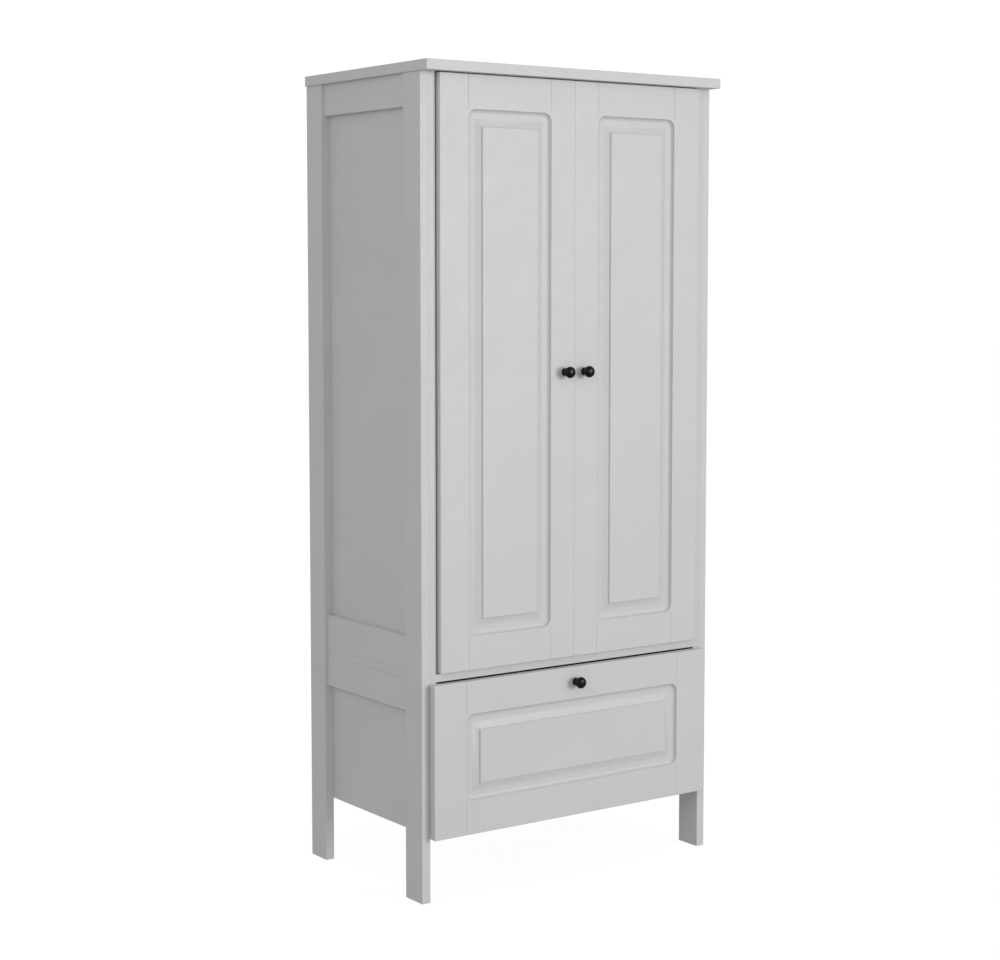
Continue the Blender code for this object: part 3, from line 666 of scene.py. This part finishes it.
def panelled_front(node, margins, holes, sizes, edges=None, growth=(0, 0)):
    """A front with a raised field in a routed border, given its border's left, right, bottom and
    top margins, the cutters of its holes, its left and right edges' radii, and how far it grows
    beyond its box on the left and the right."""
    low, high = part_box(node)
    face, thickness = low.y, high.y - low.y
    left, right, bottom, top = margins
    border_low = (low.x + left, low.z + bottom)
    border_high = (high.x - right, high.z - top)
    low.x -= growth[0]
    high.x += growth[1]
    bm = bmesh.new()

    def loop(low_corner, high_corner, inset, radius, depth):
        points = rounded_rectangle([c + inset for c in low_corner],
                                   [c - inset for c in high_corner], radius - inset)
        return [bm.verts.new((x, face + depth, z)) for x, z in points]

    left_ease, right_ease = [radius / sizes.front_edge - 1
                             for radius in edges or [sizes.front_edge] * 2]
    loops = [loop((low.x + inset * left_ease, low.z), (high.x - inset * right_ease, high.z), inset,
                  FRONT_CORNER, depth) for inset, depth in edge_rings(thickness, sizes.front_edge)]
    loops += [loop(border_low, border_high, inset, sizes.corner_radius, depth)
              for inset, depth in border_rings(sizes)]
    for outer, inner in zip(loops, loops[1:]):
        bridge(bm, outer, inner)
    bm.faces.new(loops[0])
    bm.faces.new(loops[-1])
    bmesh.ops.recalc_face_normals(bm, faces=bm.faces)
    lines = [v_line(x, start, end, face, sizes)
             for x in (border_low[0] - sizes.v_line_offset, border_high[0] + sizes.v_line_offset)
             for start, end in ((low.z - OVERCUT, border_low[1]),
                                (border_high[1], high.z + OVERCUT))]
    return carve(carve(bm, lines), holes)


def knob_hole(word, front):
    """The cutter of the hole that a knob's screw goes through."""
    x, _, z = centre_of(f"knob_screw_{word}")
    near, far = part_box(front)
    return rod(KNOB_HOLE_RADIUS, (x, near.y - OVERCUT, z), (x, far.y + OVERCUT, z))


def cup_pocket(word, place, back):
    """The cutter of the pocket in a door's back that takes a hinge cup."""
    cup = hinge_cup_centre(word, place)
    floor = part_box(f"hinge_cup_{word}_{place}")[0].y
    return rod(CUP_RADIUS + CUP_PLAY, (cup.x, floor - CUP_PLAY, cup.z),
               (cup.x, back + OVERCUT, cup.z), CUP_STEPS)


class WARDROBE_OT_doors(bpy.types.Operator):
    """Makes the panelled doors, with the pockets for their hinges, and their buffers"""

    bl_idname = "wardrobe.doors"
    bl_label = "Doors"

    def execute(self, context):
        sizes = context.scene.wardrobe_sizes
        for word, side in SIDES:
            node = f"door_{word}"
            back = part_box(node)[1].y
            stiles = [sizes.door_stile_outer, sizes.door_stile_inner][::-side]
            margins = (*stiles, sizes.door_rail, sizes.door_rail)
            holes = [cup_pocket(word, place, back) for place in HINGE_PLACES]
            holes.append(knob_hole(f"door_{word}", node))
            edges = [sizes.front_edge, sizes.meeting_edge][::-side]
            growth = [0, MEETING_CLOSING][::-side]
            door = finish_node(node, panelled_front(node, margins, holes, sizes, edges, growth))
            door.data.set_sharp_from_angle(angle=FRONT_SMOOTH_UNDER)
            z = centre_of("door_stop_rail").z
            buffers = [moved(turned(BUFFER_PROFILE, 24), towards((0, 1, 0), (side * x, back, z)))
                       for x in BUFFER_PLACES]
            place_piece(f"door_buffers_{word}", merged(buffers), moulded_nylon, node)
        return {"FINISHED"}


class WARDROBE_OT_drawer_front(bpy.types.Operator):
    """Makes the drawer's panelled front"""

    bl_idname = "wardrobe.drawer_front"
    bl_label = "Drawer front"

    def execute(self, context):
        sizes = context.scene.wardrobe_sizes
        margins = (sizes.drawer_stile, sizes.drawer_stile, sizes.drawer_rail_bottom,
                   sizes.drawer_rail_top)
        holes = [knob_hole("drawer", "drawer_front")]
        front = finish_node("drawer_front", panelled_front("drawer_front", margins, holes, sizes))
        front.data.set_sharp_from_angle(angle=FRONT_SMOOTH_UNDER)
        return {"FINISHED"}


# ----------------------------------------------------------------------- knobs
# Radius and reach of a knob: its foot, its waist, and the head that swells to a low crown
KNOB_PROFILE = (
    (0, 0.0001), (0.0080, 0.0001), (0.0088, 0.0002), (0.0090, 0.0011), (0.0089, 0.0026),
    (0.0083, 0.0046), (0.0077, 0.0066), (0.0075, 0.0088), (0.0080, 0.0110), (0.0096, 0.0132),
    (0.0117, 0.0152), (0.0128, 0.0180), (0.0126, 0.0206), (0.0114, 0.0236), (0.0086, 0.0260),
    (0.0046, 0.0271), (0, 0.0274),
)
KNOBS = ("door_left", "door_right", "drawer")


def screw_head(radius, height):
    """A pan head with a cross-shaped recess, its top along +Z."""
    profile = [(0, height), (radius * 0.5, height * 0.97), (radius * 0.8, height * 0.8),
               (radius * 0.96, height * 0.5), (radius, height * 0.2), (radius, -height * 0.5),
               (0, -height * 0.5)]
    arm, blade = radius * 0.55, radius * 0.13
    floor = height * 0.35
    cross = carve(cube((-arm, -blade, floor), (arm, blade, height * 2)),
                  [cube((-blade, -arm, floor), (blade, arm, height * 2))], "UNION")
    return carve(turned(profile, 24), [cross])


def screw_at(place, direction, radius, height):
    return moved(screw_head(radius, height), towards(direction, place))


class WARDROBE_OT_knobs(bpy.types.Operator):
    """Makes the turned knobs and the screws that hold them from behind"""

    bl_idname = "wardrobe.knobs"
    bl_label = "Knobs"

    def execute(self, context):
        for word in KNOBS:
            node = f"knob_{word}"
            x, _, z = centre_of(node)
            front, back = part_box("drawer_front" if word == "drawer" else word)
            place = (x, front.y, z)
            knob = finish_node(node, moved(turned(KNOB_PROFILE, 32), towards((0, -1, 0), place)))
            knob.modifiers.clear()
            rounding = knob.modifiers.new("turned curves", "SUBSURF")
            rounding.levels = rounding.render_levels = 2
            screw = f"knob_screw_{word}"
            low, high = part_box(screw)
            behind = (x, back.y, z)
            shank = rod(KNOB_HOLE_RADIUS * 0.85, (x, low.y, z), behind, 16)
            head = screw_at(behind, (0, 1, 0), (high.x - low.x) / 2, high.y - back.y)
            finish_node(screw, merged([shank, head]))
        return {"FINISHED"}


# ---------------------------------------------------------------------- hinges
CUP_RADIUS = 0.0172
CUP_STEPS = 48
CUP_PLAY = 0.0002
CUP_WALL = 0.0009
CUP_FLANGE = 0.0009
CUP_FROM_EDGE = 0.0225
PIVOT_FROM_EDGE = 0.012
PIVOT_FROM_FACE = 0.0095
PIN_RADIUS = 0.0012
PIN_HALF = 0.0112
ARM_HALF_HEIGHT = 0.0068
ARM_SHEET = 0.0022
ARM_TURN = 0.025
ARM_DEPTH = 0.0275
BEND_RADIUS = 0.0022
KNUCKLE_RADIUS = 0.0029
KNUCKLE_BORE = 0.0015
# The arm's long body along the side board: its ends from the door's face, its height and width
BODY_ENDS = (0.0265, 0.079)
BODY_RISE = 0.0095
BODY_HALF = 0.0080
BODY_WINDOW = 0.0012
PLATE_ENDS = (0.042, 0.066)
PLATE_SHEET = 0.002
PLATE_HALF = 0.024
WING_HALF_WIDTH = 0.0095


def hinge_frame(word, side, place):
    """A function that turns (distance from the door's hinge edge, depth from its face, height above
    the hinge's middle) into a place, and the wall's own distance."""
    low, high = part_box(f"door_{word}")
    edge, face = max(abs(low.x), abs(high.x)), low.y
    middle = centre_of(f"hinge_arm_{word}_{place}").z
    wall = edge - min(abs(corner.x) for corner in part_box(f"side_board_upper_{word}"))

    def at(distance, depth, rise=0.0):
        return Vector((side * (edge - distance), face + depth, middle + rise))

    return at, wall


def hinge_cup_centre(word, place):
    side = dict(SIDES)[word]
    at, _ = hinge_frame(word, side, place)
    return at(CUP_FROM_EDGE, 0)


def box_at(at, near, far, start, end, low, high):
    """A box between two places of a hinge frame."""
    one, other = at(near, start, low), at(far, end, high)
    return cube([min(a, b) for a, b in zip(one, other)], [max(a, b) for a, b in zip(one, other)])


def hinge_cup(word, side, place):
    """A drawn cup with a rolled rim, two wings with screws, and the pin across it."""
    at, _ = hinge_frame(word, side, place)
    low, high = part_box(f"hinge_cup_{word}_{place}")
    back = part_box(f"door_{word}")[1].y
    depth = back - low.y
    rim = high.y - back
    inner = CUP_RADIUS - CUP_WALL
    profile = [(0, -depth), (CUP_RADIUS - 0.002, -depth), (CUP_RADIUS - 0.0006, -depth + 0.0006),
               (CUP_RADIUS, -depth + 0.002), (CUP_RADIUS, 0.0001), (CUP_RADIUS + 0.0011, 0.0001),
               (CUP_RADIUS + 0.0011, rim * 0.5), (CUP_RADIUS + 0.0006, rim), (inner + 0.0006, rim),
               (inner, rim * 0.5), (inner, -depth + 0.003), (inner - 0.0012, -depth + 0.0014),
               (inner - 0.003, -depth + CUP_WALL), (0, -depth + CUP_WALL)]
    centre = Vector((at(CUP_FROM_EDGE, 0).x, back, at(0, 0).z))
    cup = moved(turned(profile, CUP_STEPS), towards((0, 1, 0), centre))
    flange = carve(
        ease(box_at(at, CUP_FROM_EDGE - WING_HALF_WIDTH, CUP_FROM_EDGE + WING_HALF_WIDTH,
                    back - at(0, 0).y + 0.0001, back - at(0, 0).y + 0.0001 + CUP_FLANGE,
                    low.z - centre.z, high.z - centre.z), 0.0004, 2),
        [rod(CUP_RADIUS - CUP_WALL / 2, centre - Vector((0, OVERCUT, 0)),
             centre + Vector((0, OVERCUT, 0)), CUP_STEPS)])
    screw_rise = (high.z - low.z) / 2 - 0.0045
    screws = [screw_at(centre + Vector((0, CUP_FLANGE, rise)), (0, 1, 0), 0.0031, 0.0011)
              for rise in (-screw_rise, screw_rise)]
    pin = rod(PIN_RADIUS, at(PIVOT_FROM_EDGE, PIVOT_FROM_FACE, -PIN_HALF),
              at(PIVOT_FROM_EDGE, PIVOT_FROM_FACE, PIN_HALF), 16)
    return merged([cup, flange, pin, *screws])


def hinge_arm(word, side, place):
    """The bent strip that reaches into the cup, the arm's long body with its adjusting screws, and
    the winged plate that is screwed to the side board."""
    at, wall = hinge_frame(word, side, place)
    half = ARM_SHEET / 2
    path = [(PIVOT_FROM_EDGE, PIVOT_FROM_FACE - half), (ARM_TURN + half, PIVOT_FROM_FACE - half),
            (ARM_TURN + half, ARM_DEPTH + half), (wall + BODY_RISE - 0.001, ARM_DEPTH + half),
            (wall + BODY_RISE - 0.001, ARM_DEPTH - half), (ARM_TURN - half, ARM_DEPTH - half),
            (ARM_TURN - half, PIVOT_FROM_FACE + half), (PIVOT_FROM_EDGE, PIVOT_FROM_FACE + half)]
    middle = at(0, 0).z
    strip = prism([at(distance, depth).xy for distance, depth in path], middle - ARM_HALF_HEIGHT,
                  middle + ARM_HALF_HEIGHT)
    bends = [edge for edge in strip.edges if abs(edge.verts[0].co.z - edge.verts[1].co.z) > half
             and abs(edge.verts[0].co.x - at(PIVOT_FROM_EDGE, 0).x) > half
             and abs(edge.verts[0].co.x - at(wall + BODY_RISE - 0.001, 0).x) > half]
    ease(strip, BEND_RADIUS * 0.45, 4, bends)
    pin = at(PIVOT_FROM_EDGE, PIVOT_FROM_FACE)
    rise = Vector((0, 0, ARM_HALF_HEIGHT))
    knuckle = carve(rod(KNUCKLE_RADIUS, pin - rise, pin + rise, 24),
                    [rod(KNUCKLE_BORE, pin - rise * 2, pin + rise * 2, 16)])
    strip = carve(strip, [rod(KNUCKLE_BORE, pin - rise * 2, pin + rise * 2, 16)])
    body = box_at(at, wall + 0.0003, wall + BODY_RISE, *BODY_ENDS, -BODY_HALF, BODY_HALF)
    ease(body, 0.0014, 3)
    sunk, above = wall + BODY_RISE - BODY_WINDOW, wall + BODY_RISE + OVERCUT
    window = box_at(at, sunk, above, BODY_ENDS[1] - 0.022, BODY_ENDS[1] - 0.007, -0.0024, 0.0024)
    slot = box_at(at, sunk, above, BODY_ENDS[0] + 0.009, BODY_ENDS[0] + 0.020, -0.0052, 0.0052)
    body = carve(body, [ease(window, 0.0004, 2), ease(slot, 0.0012, 3)])
    plate = ease(box_at(at, wall + 0.0002, wall + 0.0002 + PLATE_SHEET, *PLATE_ENDS, -PLATE_HALF,
                        PLATE_HALF), 0.0006, 2)
    inwards = (-side, 0, 0)
    screws = [screw_at(at(sunk, BODY_ENDS[0] + 0.0145), inwards, 0.0038, 0.0014),
              screw_at(at(sunk, BODY_ENDS[1] - 0.0145), inwards, 0.0030, 0.0013)]
    screws += [screw_at(at(wall + PLATE_SHEET, sum(PLATE_ENDS) / 2, rise), inwards, 0.0038, 0.0016)
               for rise in (-0.0160, 0.0160)]
    return merged([strip, knuckle, body, plate, *screws])


class WARDROBE_OT_hinges(bpy.types.Operator):
    """Makes the cups on the doors and the arms on the side boards"""

    bl_idname = "wardrobe.hinges"
    bl_label = "Hinges"

    def execute(self, context):
        for word, side in SIDES:
            for place in HINGE_PLACES:
                finish_node(f"hinge_cup_{word}_{place}", hinge_cup(word, side, place))
                finish_node(f"hinge_arm_{word}_{place}", hinge_arm(word, side, place))
        return {"FINISHED"}


# ------------------------------------------------------- inside the hanging space
TUBE_WALL = 0.0015
SOCKET_PLATE = 0.003
ROUND_STEPS = 64


def rail_socket(side, node):
    """A round flange with a raised collar for the tube, and two screws."""
    low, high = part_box(node)
    wall = max(abs(low.x), abs(high.x))
    reach = abs(high.x - low.x)
    flange = (high.z - low.z) / 2
    tube = rail_radius()
    collar = tube + 0.0027
    profile = [(0, 0), (flange - 0.0006, 0), (flange, 0.0006), (flange, SOCKET_PLATE - 0.0012),
               (flange - 0.0012, SOCKET_PLATE - 0.0002), (flange - 0.0030, SOCKET_PLATE),
               (collar + 0.0010, SOCKET_PLATE), (collar + 0.0003, SOCKET_PLATE + 0.0004),
               (collar, SOCKET_PLATE + 0.0012), (collar, reach - 0.0007), (collar - 0.0007, reach),
               (tube + 0.0009, reach), (tube + 0.0003, reach - 0.0006),
               (tube + 0.0003, SOCKET_PLATE), (0, SOCKET_PLATE)]
    centre = Vector((side * wall, *centre_of(node).yz))
    inwards = (-side, 0, 0)
    socket = moved(turned(profile, ROUND_STEPS), towards(inwards, centre))
    screw_radius = (flange + collar) / 2
    face = Vector((-side * SOCKET_PLATE, 0, 0))
    screws = [screw_at(centre + face + Vector((0, 0, rise)), inwards, 0.0026, 0.0009)
              for rise in (-screw_radius, screw_radius)]
    return merged([socket, *screws])


def rail_radius():
    low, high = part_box("clothes_rail")
    return (high.z - low.z) / 2


class WARDROBE_OT_clothes_rail(bpy.types.Operator):
    """Makes the clothes rail, its sockets and the shelf pins"""

    bl_idname = "wardrobe.clothes_rail"
    bl_label = "Clothes rail and shelf pins"

    def execute(self, context):
        low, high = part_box("clothes_rail")
        radius, length = rail_radius(), high.x - low.x
        bore = radius - TUBE_WALL
        ends = [(radius, 0), (radius, length), (bore, length), (bore, 0)]
        start = (low.x, *centre_of("clothes_rail").yz)
        finish_node("clothes_rail", moved(turned(ends, ROUND_STEPS, closed=True),
                                          towards((1, 0, 0), start)))
        for word, side in SIDES:
            finish_node(f"rail_socket_{word}", rail_socket(side, f"rail_socket_{word}"))
            for row in ("front", "back"):
                node = f"shelf_pin_{row}_{word}"
                finish_node(node, shelf_pin(side, node, f"side_board_upper_{word}"))
        return {"FINISHED"}


def shelf_pin(side, node, board):
    """A pin with a peg in the board and a round-nosed head under the shelf."""
    low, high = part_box(node)
    inside = min(abs(corner.x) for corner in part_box(board))
    peg_depth = max(abs(low.x), abs(high.x)) - inside
    head = inside - min(abs(low.x), abs(high.x))
    radius = (high.z - low.z) / 2
    peg = SHELF_PIN_HOLE - 0.0004
    profile = [(0, -peg_depth), (peg - 0.0004, -peg_depth), (peg, -peg_depth + 0.0004),
               (peg, 0.0002), (radius, 0.0002), (radius, head - 0.0016),
               (radius - 0.0005, head - 0.0005),
               (radius - 0.0017, head), (0, head)]
    place = (side * inside, *centre_of(node).yz)
    return moved(turned(profile, 24), towards((-side, 0, 0), place))


# ---------------------------------------------------------------------- drawer
GROOVE_DEPTH = 0.006
GROOVE_PLAY = 0.0003
DRAWER_EDGE = 0.0010
RUNNER_SHEET = 0.0012
RUNNER_BEND = 0.0010
WHEEL_INSET = 0.014
WHEEL_WIDTH = 0.0066
WHEEL_STEPS = 40
# Half of a wheel's section, as shares of its radius and half width: hub, hollow web, and tread
WHEEL_PROFILE = ((0, 1), (0.42, 1), (0.46, 0.7), (0.8, 0.7), (0.86, 1), (0.94, 0.95), (1, 0.6))
SCREW_SPACING = 0.16


def drawer_side(node):
    """A drawer side with the groove that holds the base."""
    low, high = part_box(node)
    base_low, base_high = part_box("drawer_bottom")
    side = 1 if low.x > 0 else -1
    inner = min(abs(low.x), abs(high.x))
    xs = sorted((side * (inner - OVERCUT), side * (inner + GROOVE_DEPTH)))
    groove = cube((xs[0], low.y - OVERCUT, base_low.z - GROOVE_PLAY),
                  (xs[1], high.y + OVERCUT, base_high.z + GROOVE_PLAY))
    return carve(eased_board(node, DRAWER_EDGE), [groove])


class WARDROBE_OT_drawer_box(bpy.types.Operator):
    """Makes the drawer's sides, back and base"""

    bl_idname = "wardrobe.drawer_box"
    bl_label = "Drawer box"

    def execute(self, context):
        for word, _ in SIDES:
            node = f"drawer_side_{word}"
            finish_node(node, drawer_side(node))
        finish_node("drawer_back", eased_board("drawer_back", DRAWER_EDGE))
        finish_node("drawer_bottom", eased_board("drawer_bottom", HARDBOARD_EDGE))
        return {"FINISHED"}


def runner(node, web_side):
    """A C-shaped channel with rolled bends and screws. web_side is the sign of its web's face."""
    low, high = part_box(node)
    web = high.x if web_side > 0 else low.x
    lips = low.x if web_side > 0 else high.x
    inner_web = web - web_side * RUNNER_SHEET
    floor, ceiling = low.z + RUNNER_SHEET, high.z - RUNNER_SHEET
    outline = [(web, low.z), (lips, low.z), (lips, floor), (inner_web, floor), (inner_web, ceiling),
               (lips, ceiling), (lips, high.z), (web, high.z)]
    channel = prism([(x, -z) for x, z in outline], low.y, high.y)
    moved(channel, Matrix.Rotation(-math.pi / 2, 4, "X"))
    bends = [edge for edge in channel.edges
             if abs(edge.verts[0].co.y - edge.verts[1].co.y) > OVERCUT
             and abs(edge.verts[0].co.x - lips) > RUNNER_SHEET]
    outer = [edge for edge in bends if abs(edge.verts[0].co.x - web) < RUNNER_SHEET / 2]
    ease(channel, RUNNER_BEND, 3, outer)
    middle = (low.z + high.z) / 2
    count = int((high.y - low.y) / SCREW_SPACING)
    screws = [screw_at((inner_web, low.y + SCREW_SPACING * (0.4 + step), middle), (-web_side, 0, 0),
                       0.0034, 0.0012) for step in range(count + 1)]
    return merged([channel, *screws])


def wheel(x, y, z, radius, side):
    """A nylon wheel with a rounded tread and a hub, turned about X."""
    half = WHEEL_WIDTH / 2
    rim = [(across * radius, -rise * half) for across, rise in WHEEL_PROFILE]
    profile = rim + [(across, -rise) for across, rise in reversed(rim)]
    return moved(turned(profile, WHEEL_STEPS), towards((-side, 0, 0), (x, y, z)))


class WARDROBE_OT_runners(bpy.types.Operator):
    """Makes the drawer's runners and their wheels"""

    bl_idname = "wardrobe.runners"
    bl_label = "Drawer runners"

    def execute(self, context):
        for word, side in SIDES:
            fixed, moving = f"runner_fixed_{word}", f"runner_moving_{word}"
            finish_node(fixed, runner(fixed, side))
            finish_node(moving, runner(moving, -side))
            low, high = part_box(moving)
            outer_low, outer_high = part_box(fixed)
            middle = (low.z + high.z) / 2
            radius = (high.z - low.z) / 2 - RUNNER_SHEET - 0.0005
            xs = sorted(abs(corner.x) for corner in (low, high, outer_low, outer_high))
            x = side * (xs[0] + xs[-1]) / 2
            place_piece(f"runner_wheel_front_{word}",
                        wheel(x, outer_low.y + WHEEL_INSET, middle, radius, side), moulded_nylon,
                        "carcass")
            place_piece(f"runner_wheel_back_{word}",
                        wheel(x, high.y - WHEEL_INSET, middle, radius, side), moulded_nylon,
                        "drawer")
        return {"FINISHED"}


# ----------------------------------------------------------------------- stage
BACKDROP_GLOW = 1.05
FLOOR_SIZE = 60
FLOOR_GLOW = 0.93
FLOOR_BOUNCE = 0.33
FLOOR_PAINT = 0x585858
KEY_PLACE = (3.9, -8.0, 2.0)
KEY_SIZE = 4.0
FILL_PLACE = (-3.2, -2.2, 2.2)
FILL_SIZE = 2.0


def seamless_paper(tree, shader, place):
    """White background paper: matt, lit so brightly that it stays white under the wardrobe too. It
    throws less light up at the wardrobe than it shows."""
    set_inputs(shader, Base_Color=(*linear(FLOOR_PAINT), 1), Roughness=0.9,
               Emission_Color=(1, 1, 1, 1))
    path = add_node(tree, "ShaderNodeLightPath")
    glow = add_node(tree, "ShaderNodeMapRange", Value=path.outputs["Is Camera Ray"],
                    To_Min=FLOOR_BOUNCE, To_Max=FLOOR_GLOW)
    set_inputs(shader, Emission_Strength=glow.outputs["Result"])
    fibres = add_node(tree, "ShaderNodeTexNoise", Vector=place, Scale=per_metre(30))
    emboss(shader, fibres.outputs["Fac"], 0.05)


def make_world(ambient):
    """White to the camera, and a softer even light on the wardrobe."""
    world = bpy.data.worlds.new("studio")
    world.use_nodes = True
    tree = world.node_tree
    tree.nodes.clear()
    backdrop = add_node(tree, "ShaderNodeBackground", Color=(1, 1, 1, 1),
                        Strength=BACKDROP_GLOW)
    fill = add_node(tree, "ShaderNodeBackground", Color=(1, 1, 1, 1), Strength=ambient)
    path = add_node(tree, "ShaderNodeLightPath")
    both = add_node(tree, "ShaderNodeMixShader", Fac=path.outputs["Is Camera Ray"])
    tree.links.new(fill.outputs["Background"], both.inputs[1])
    tree.links.new(backdrop.outputs["Background"], both.inputs[2])
    add_node(tree, "ShaderNodeOutputWorld", Surface=both.outputs["Shader"])
    bpy.context.scene.world = world


def add_lamp(name, place, aim, size, power):
    """A round soft box that faces a point."""
    lamp = bpy.data.lights.new(name, "AREA")
    lamp.shape = "DISK"
    lamp.size = size
    lamp.energy = power
    holder = bpy.data.objects.new(name, lamp)
    holder.location = place
    holder.rotation_euler = (Vector(aim) - Vector(place)).to_track_quat("-Z", "Y").to_euler()
    bpy.context.scene.collection.objects.link(holder)


class WARDROBE_OT_stage(bpy.types.Operator):
    """Makes the floor, the light and the camera"""

    bl_idname = "wardrobe.stage"
    bl_label = "Stage"

    def execute(self, context):
        studio = context.scene.wardrobe_studio
        bm = bmesh.new()
        bmesh.ops.create_grid(bm, x_segments=8, y_segments=8, size=FLOOR_SIZE / 2)
        mesh = bpy.data.meshes.new("floor")
        bm.to_mesh(mesh)
        bm.free()
        mesh.materials.append(finish_from(seamless_paper))
        floor = bpy.data.objects.new("floor", mesh)
        context.scene.collection.objects.link(floor)
        make_world(studio.ambient)
        add_lamp("key", KEY_PLACE, studio.aim, KEY_SIZE, studio.key)
        add_lamp("fill", FILL_PLACE, studio.aim, FILL_SIZE, studio.fill)
        aim = Vector(studio.aim)
        view = Vector((math.sin(studio.turn) * math.cos(studio.tilt),
                       math.cos(studio.turn) * math.cos(studio.tilt), -math.sin(studio.tilt)))
        camera = bpy.data.cameras.new("camera")
        camera.lens = studio.lens
        camera.shift_y = studio.shift
        holder = bpy.data.objects.new("camera", camera)
        holder.location = aim - view * studio.distance
        holder.rotation_euler = (math.pi / 2 - studio.tilt, 0, -studio.turn)
        context.scene.collection.objects.link(holder)
        context.scene.camera = holder
        context.scene.view_settings.view_transform = "Standard"
        return {"FINISHED"}


# ----------------------------------------------------------------------- add-on
MAKERS = (
    WARDROBE_OT_boards, WARDROBE_OT_back_panels, WARDROBE_OT_doors, WARDROBE_OT_drawer_front,
    WARDROBE_OT_knobs, WARDROBE_OT_hinges, WARDROBE_OT_clothes_rail, WARDROBE_OT_drawer_box,
    WARDROBE_OT_runners, WARDROBE_OT_stage,
)
SETTINGS = {
    "wardrobe_colours": WardrobeColours,
    "wardrobe_sizes": WardrobeSizes,
    "wardrobe_studio": WardrobeStudio,
}


class WARDROBE_PT_sidebar(bpy.types.Panel):
    """The makers of the wardrobe's pieces, and the settings that they read."""

    bl_idname = "WARDROBE_PT_sidebar"
    bl_label = "Wardrobe"
    bl_space_type = "VIEW_3D"
    bl_region_type = "UI"
    bl_category = "Wardrobe"

    def draw(self, context):
        for maker in MAKERS:
            self.layout.operator(maker.bl_idname)
        for name, group in SETTINGS.items():
            box = self.layout.box()
            for prop in group.__annotations__:
                box.prop(getattr(context.scene, name), prop)


def register():
    for group in (*SETTINGS.values(), *MAKERS, WARDROBE_PT_sidebar):
        bpy.utils.register_class(group)
    for name, group in SETTINGS.items():
        setattr(bpy.types.Scene, name, PointerProperty(type=group))


def unregister():
    for name in SETTINGS:
        delattr(bpy.types.Scene, name)
    for group in reversed((*SETTINGS.values(), *MAKERS, WARDROBE_PT_sidebar)):
        bpy.utils.unregister_class(group)


def main():
    register()
    for maker in MAKERS:
        group, action = maker.bl_idname.split(".")
        getattr(getattr(bpy.ops, group), action)()


if __name__ == "__main__":
    main()
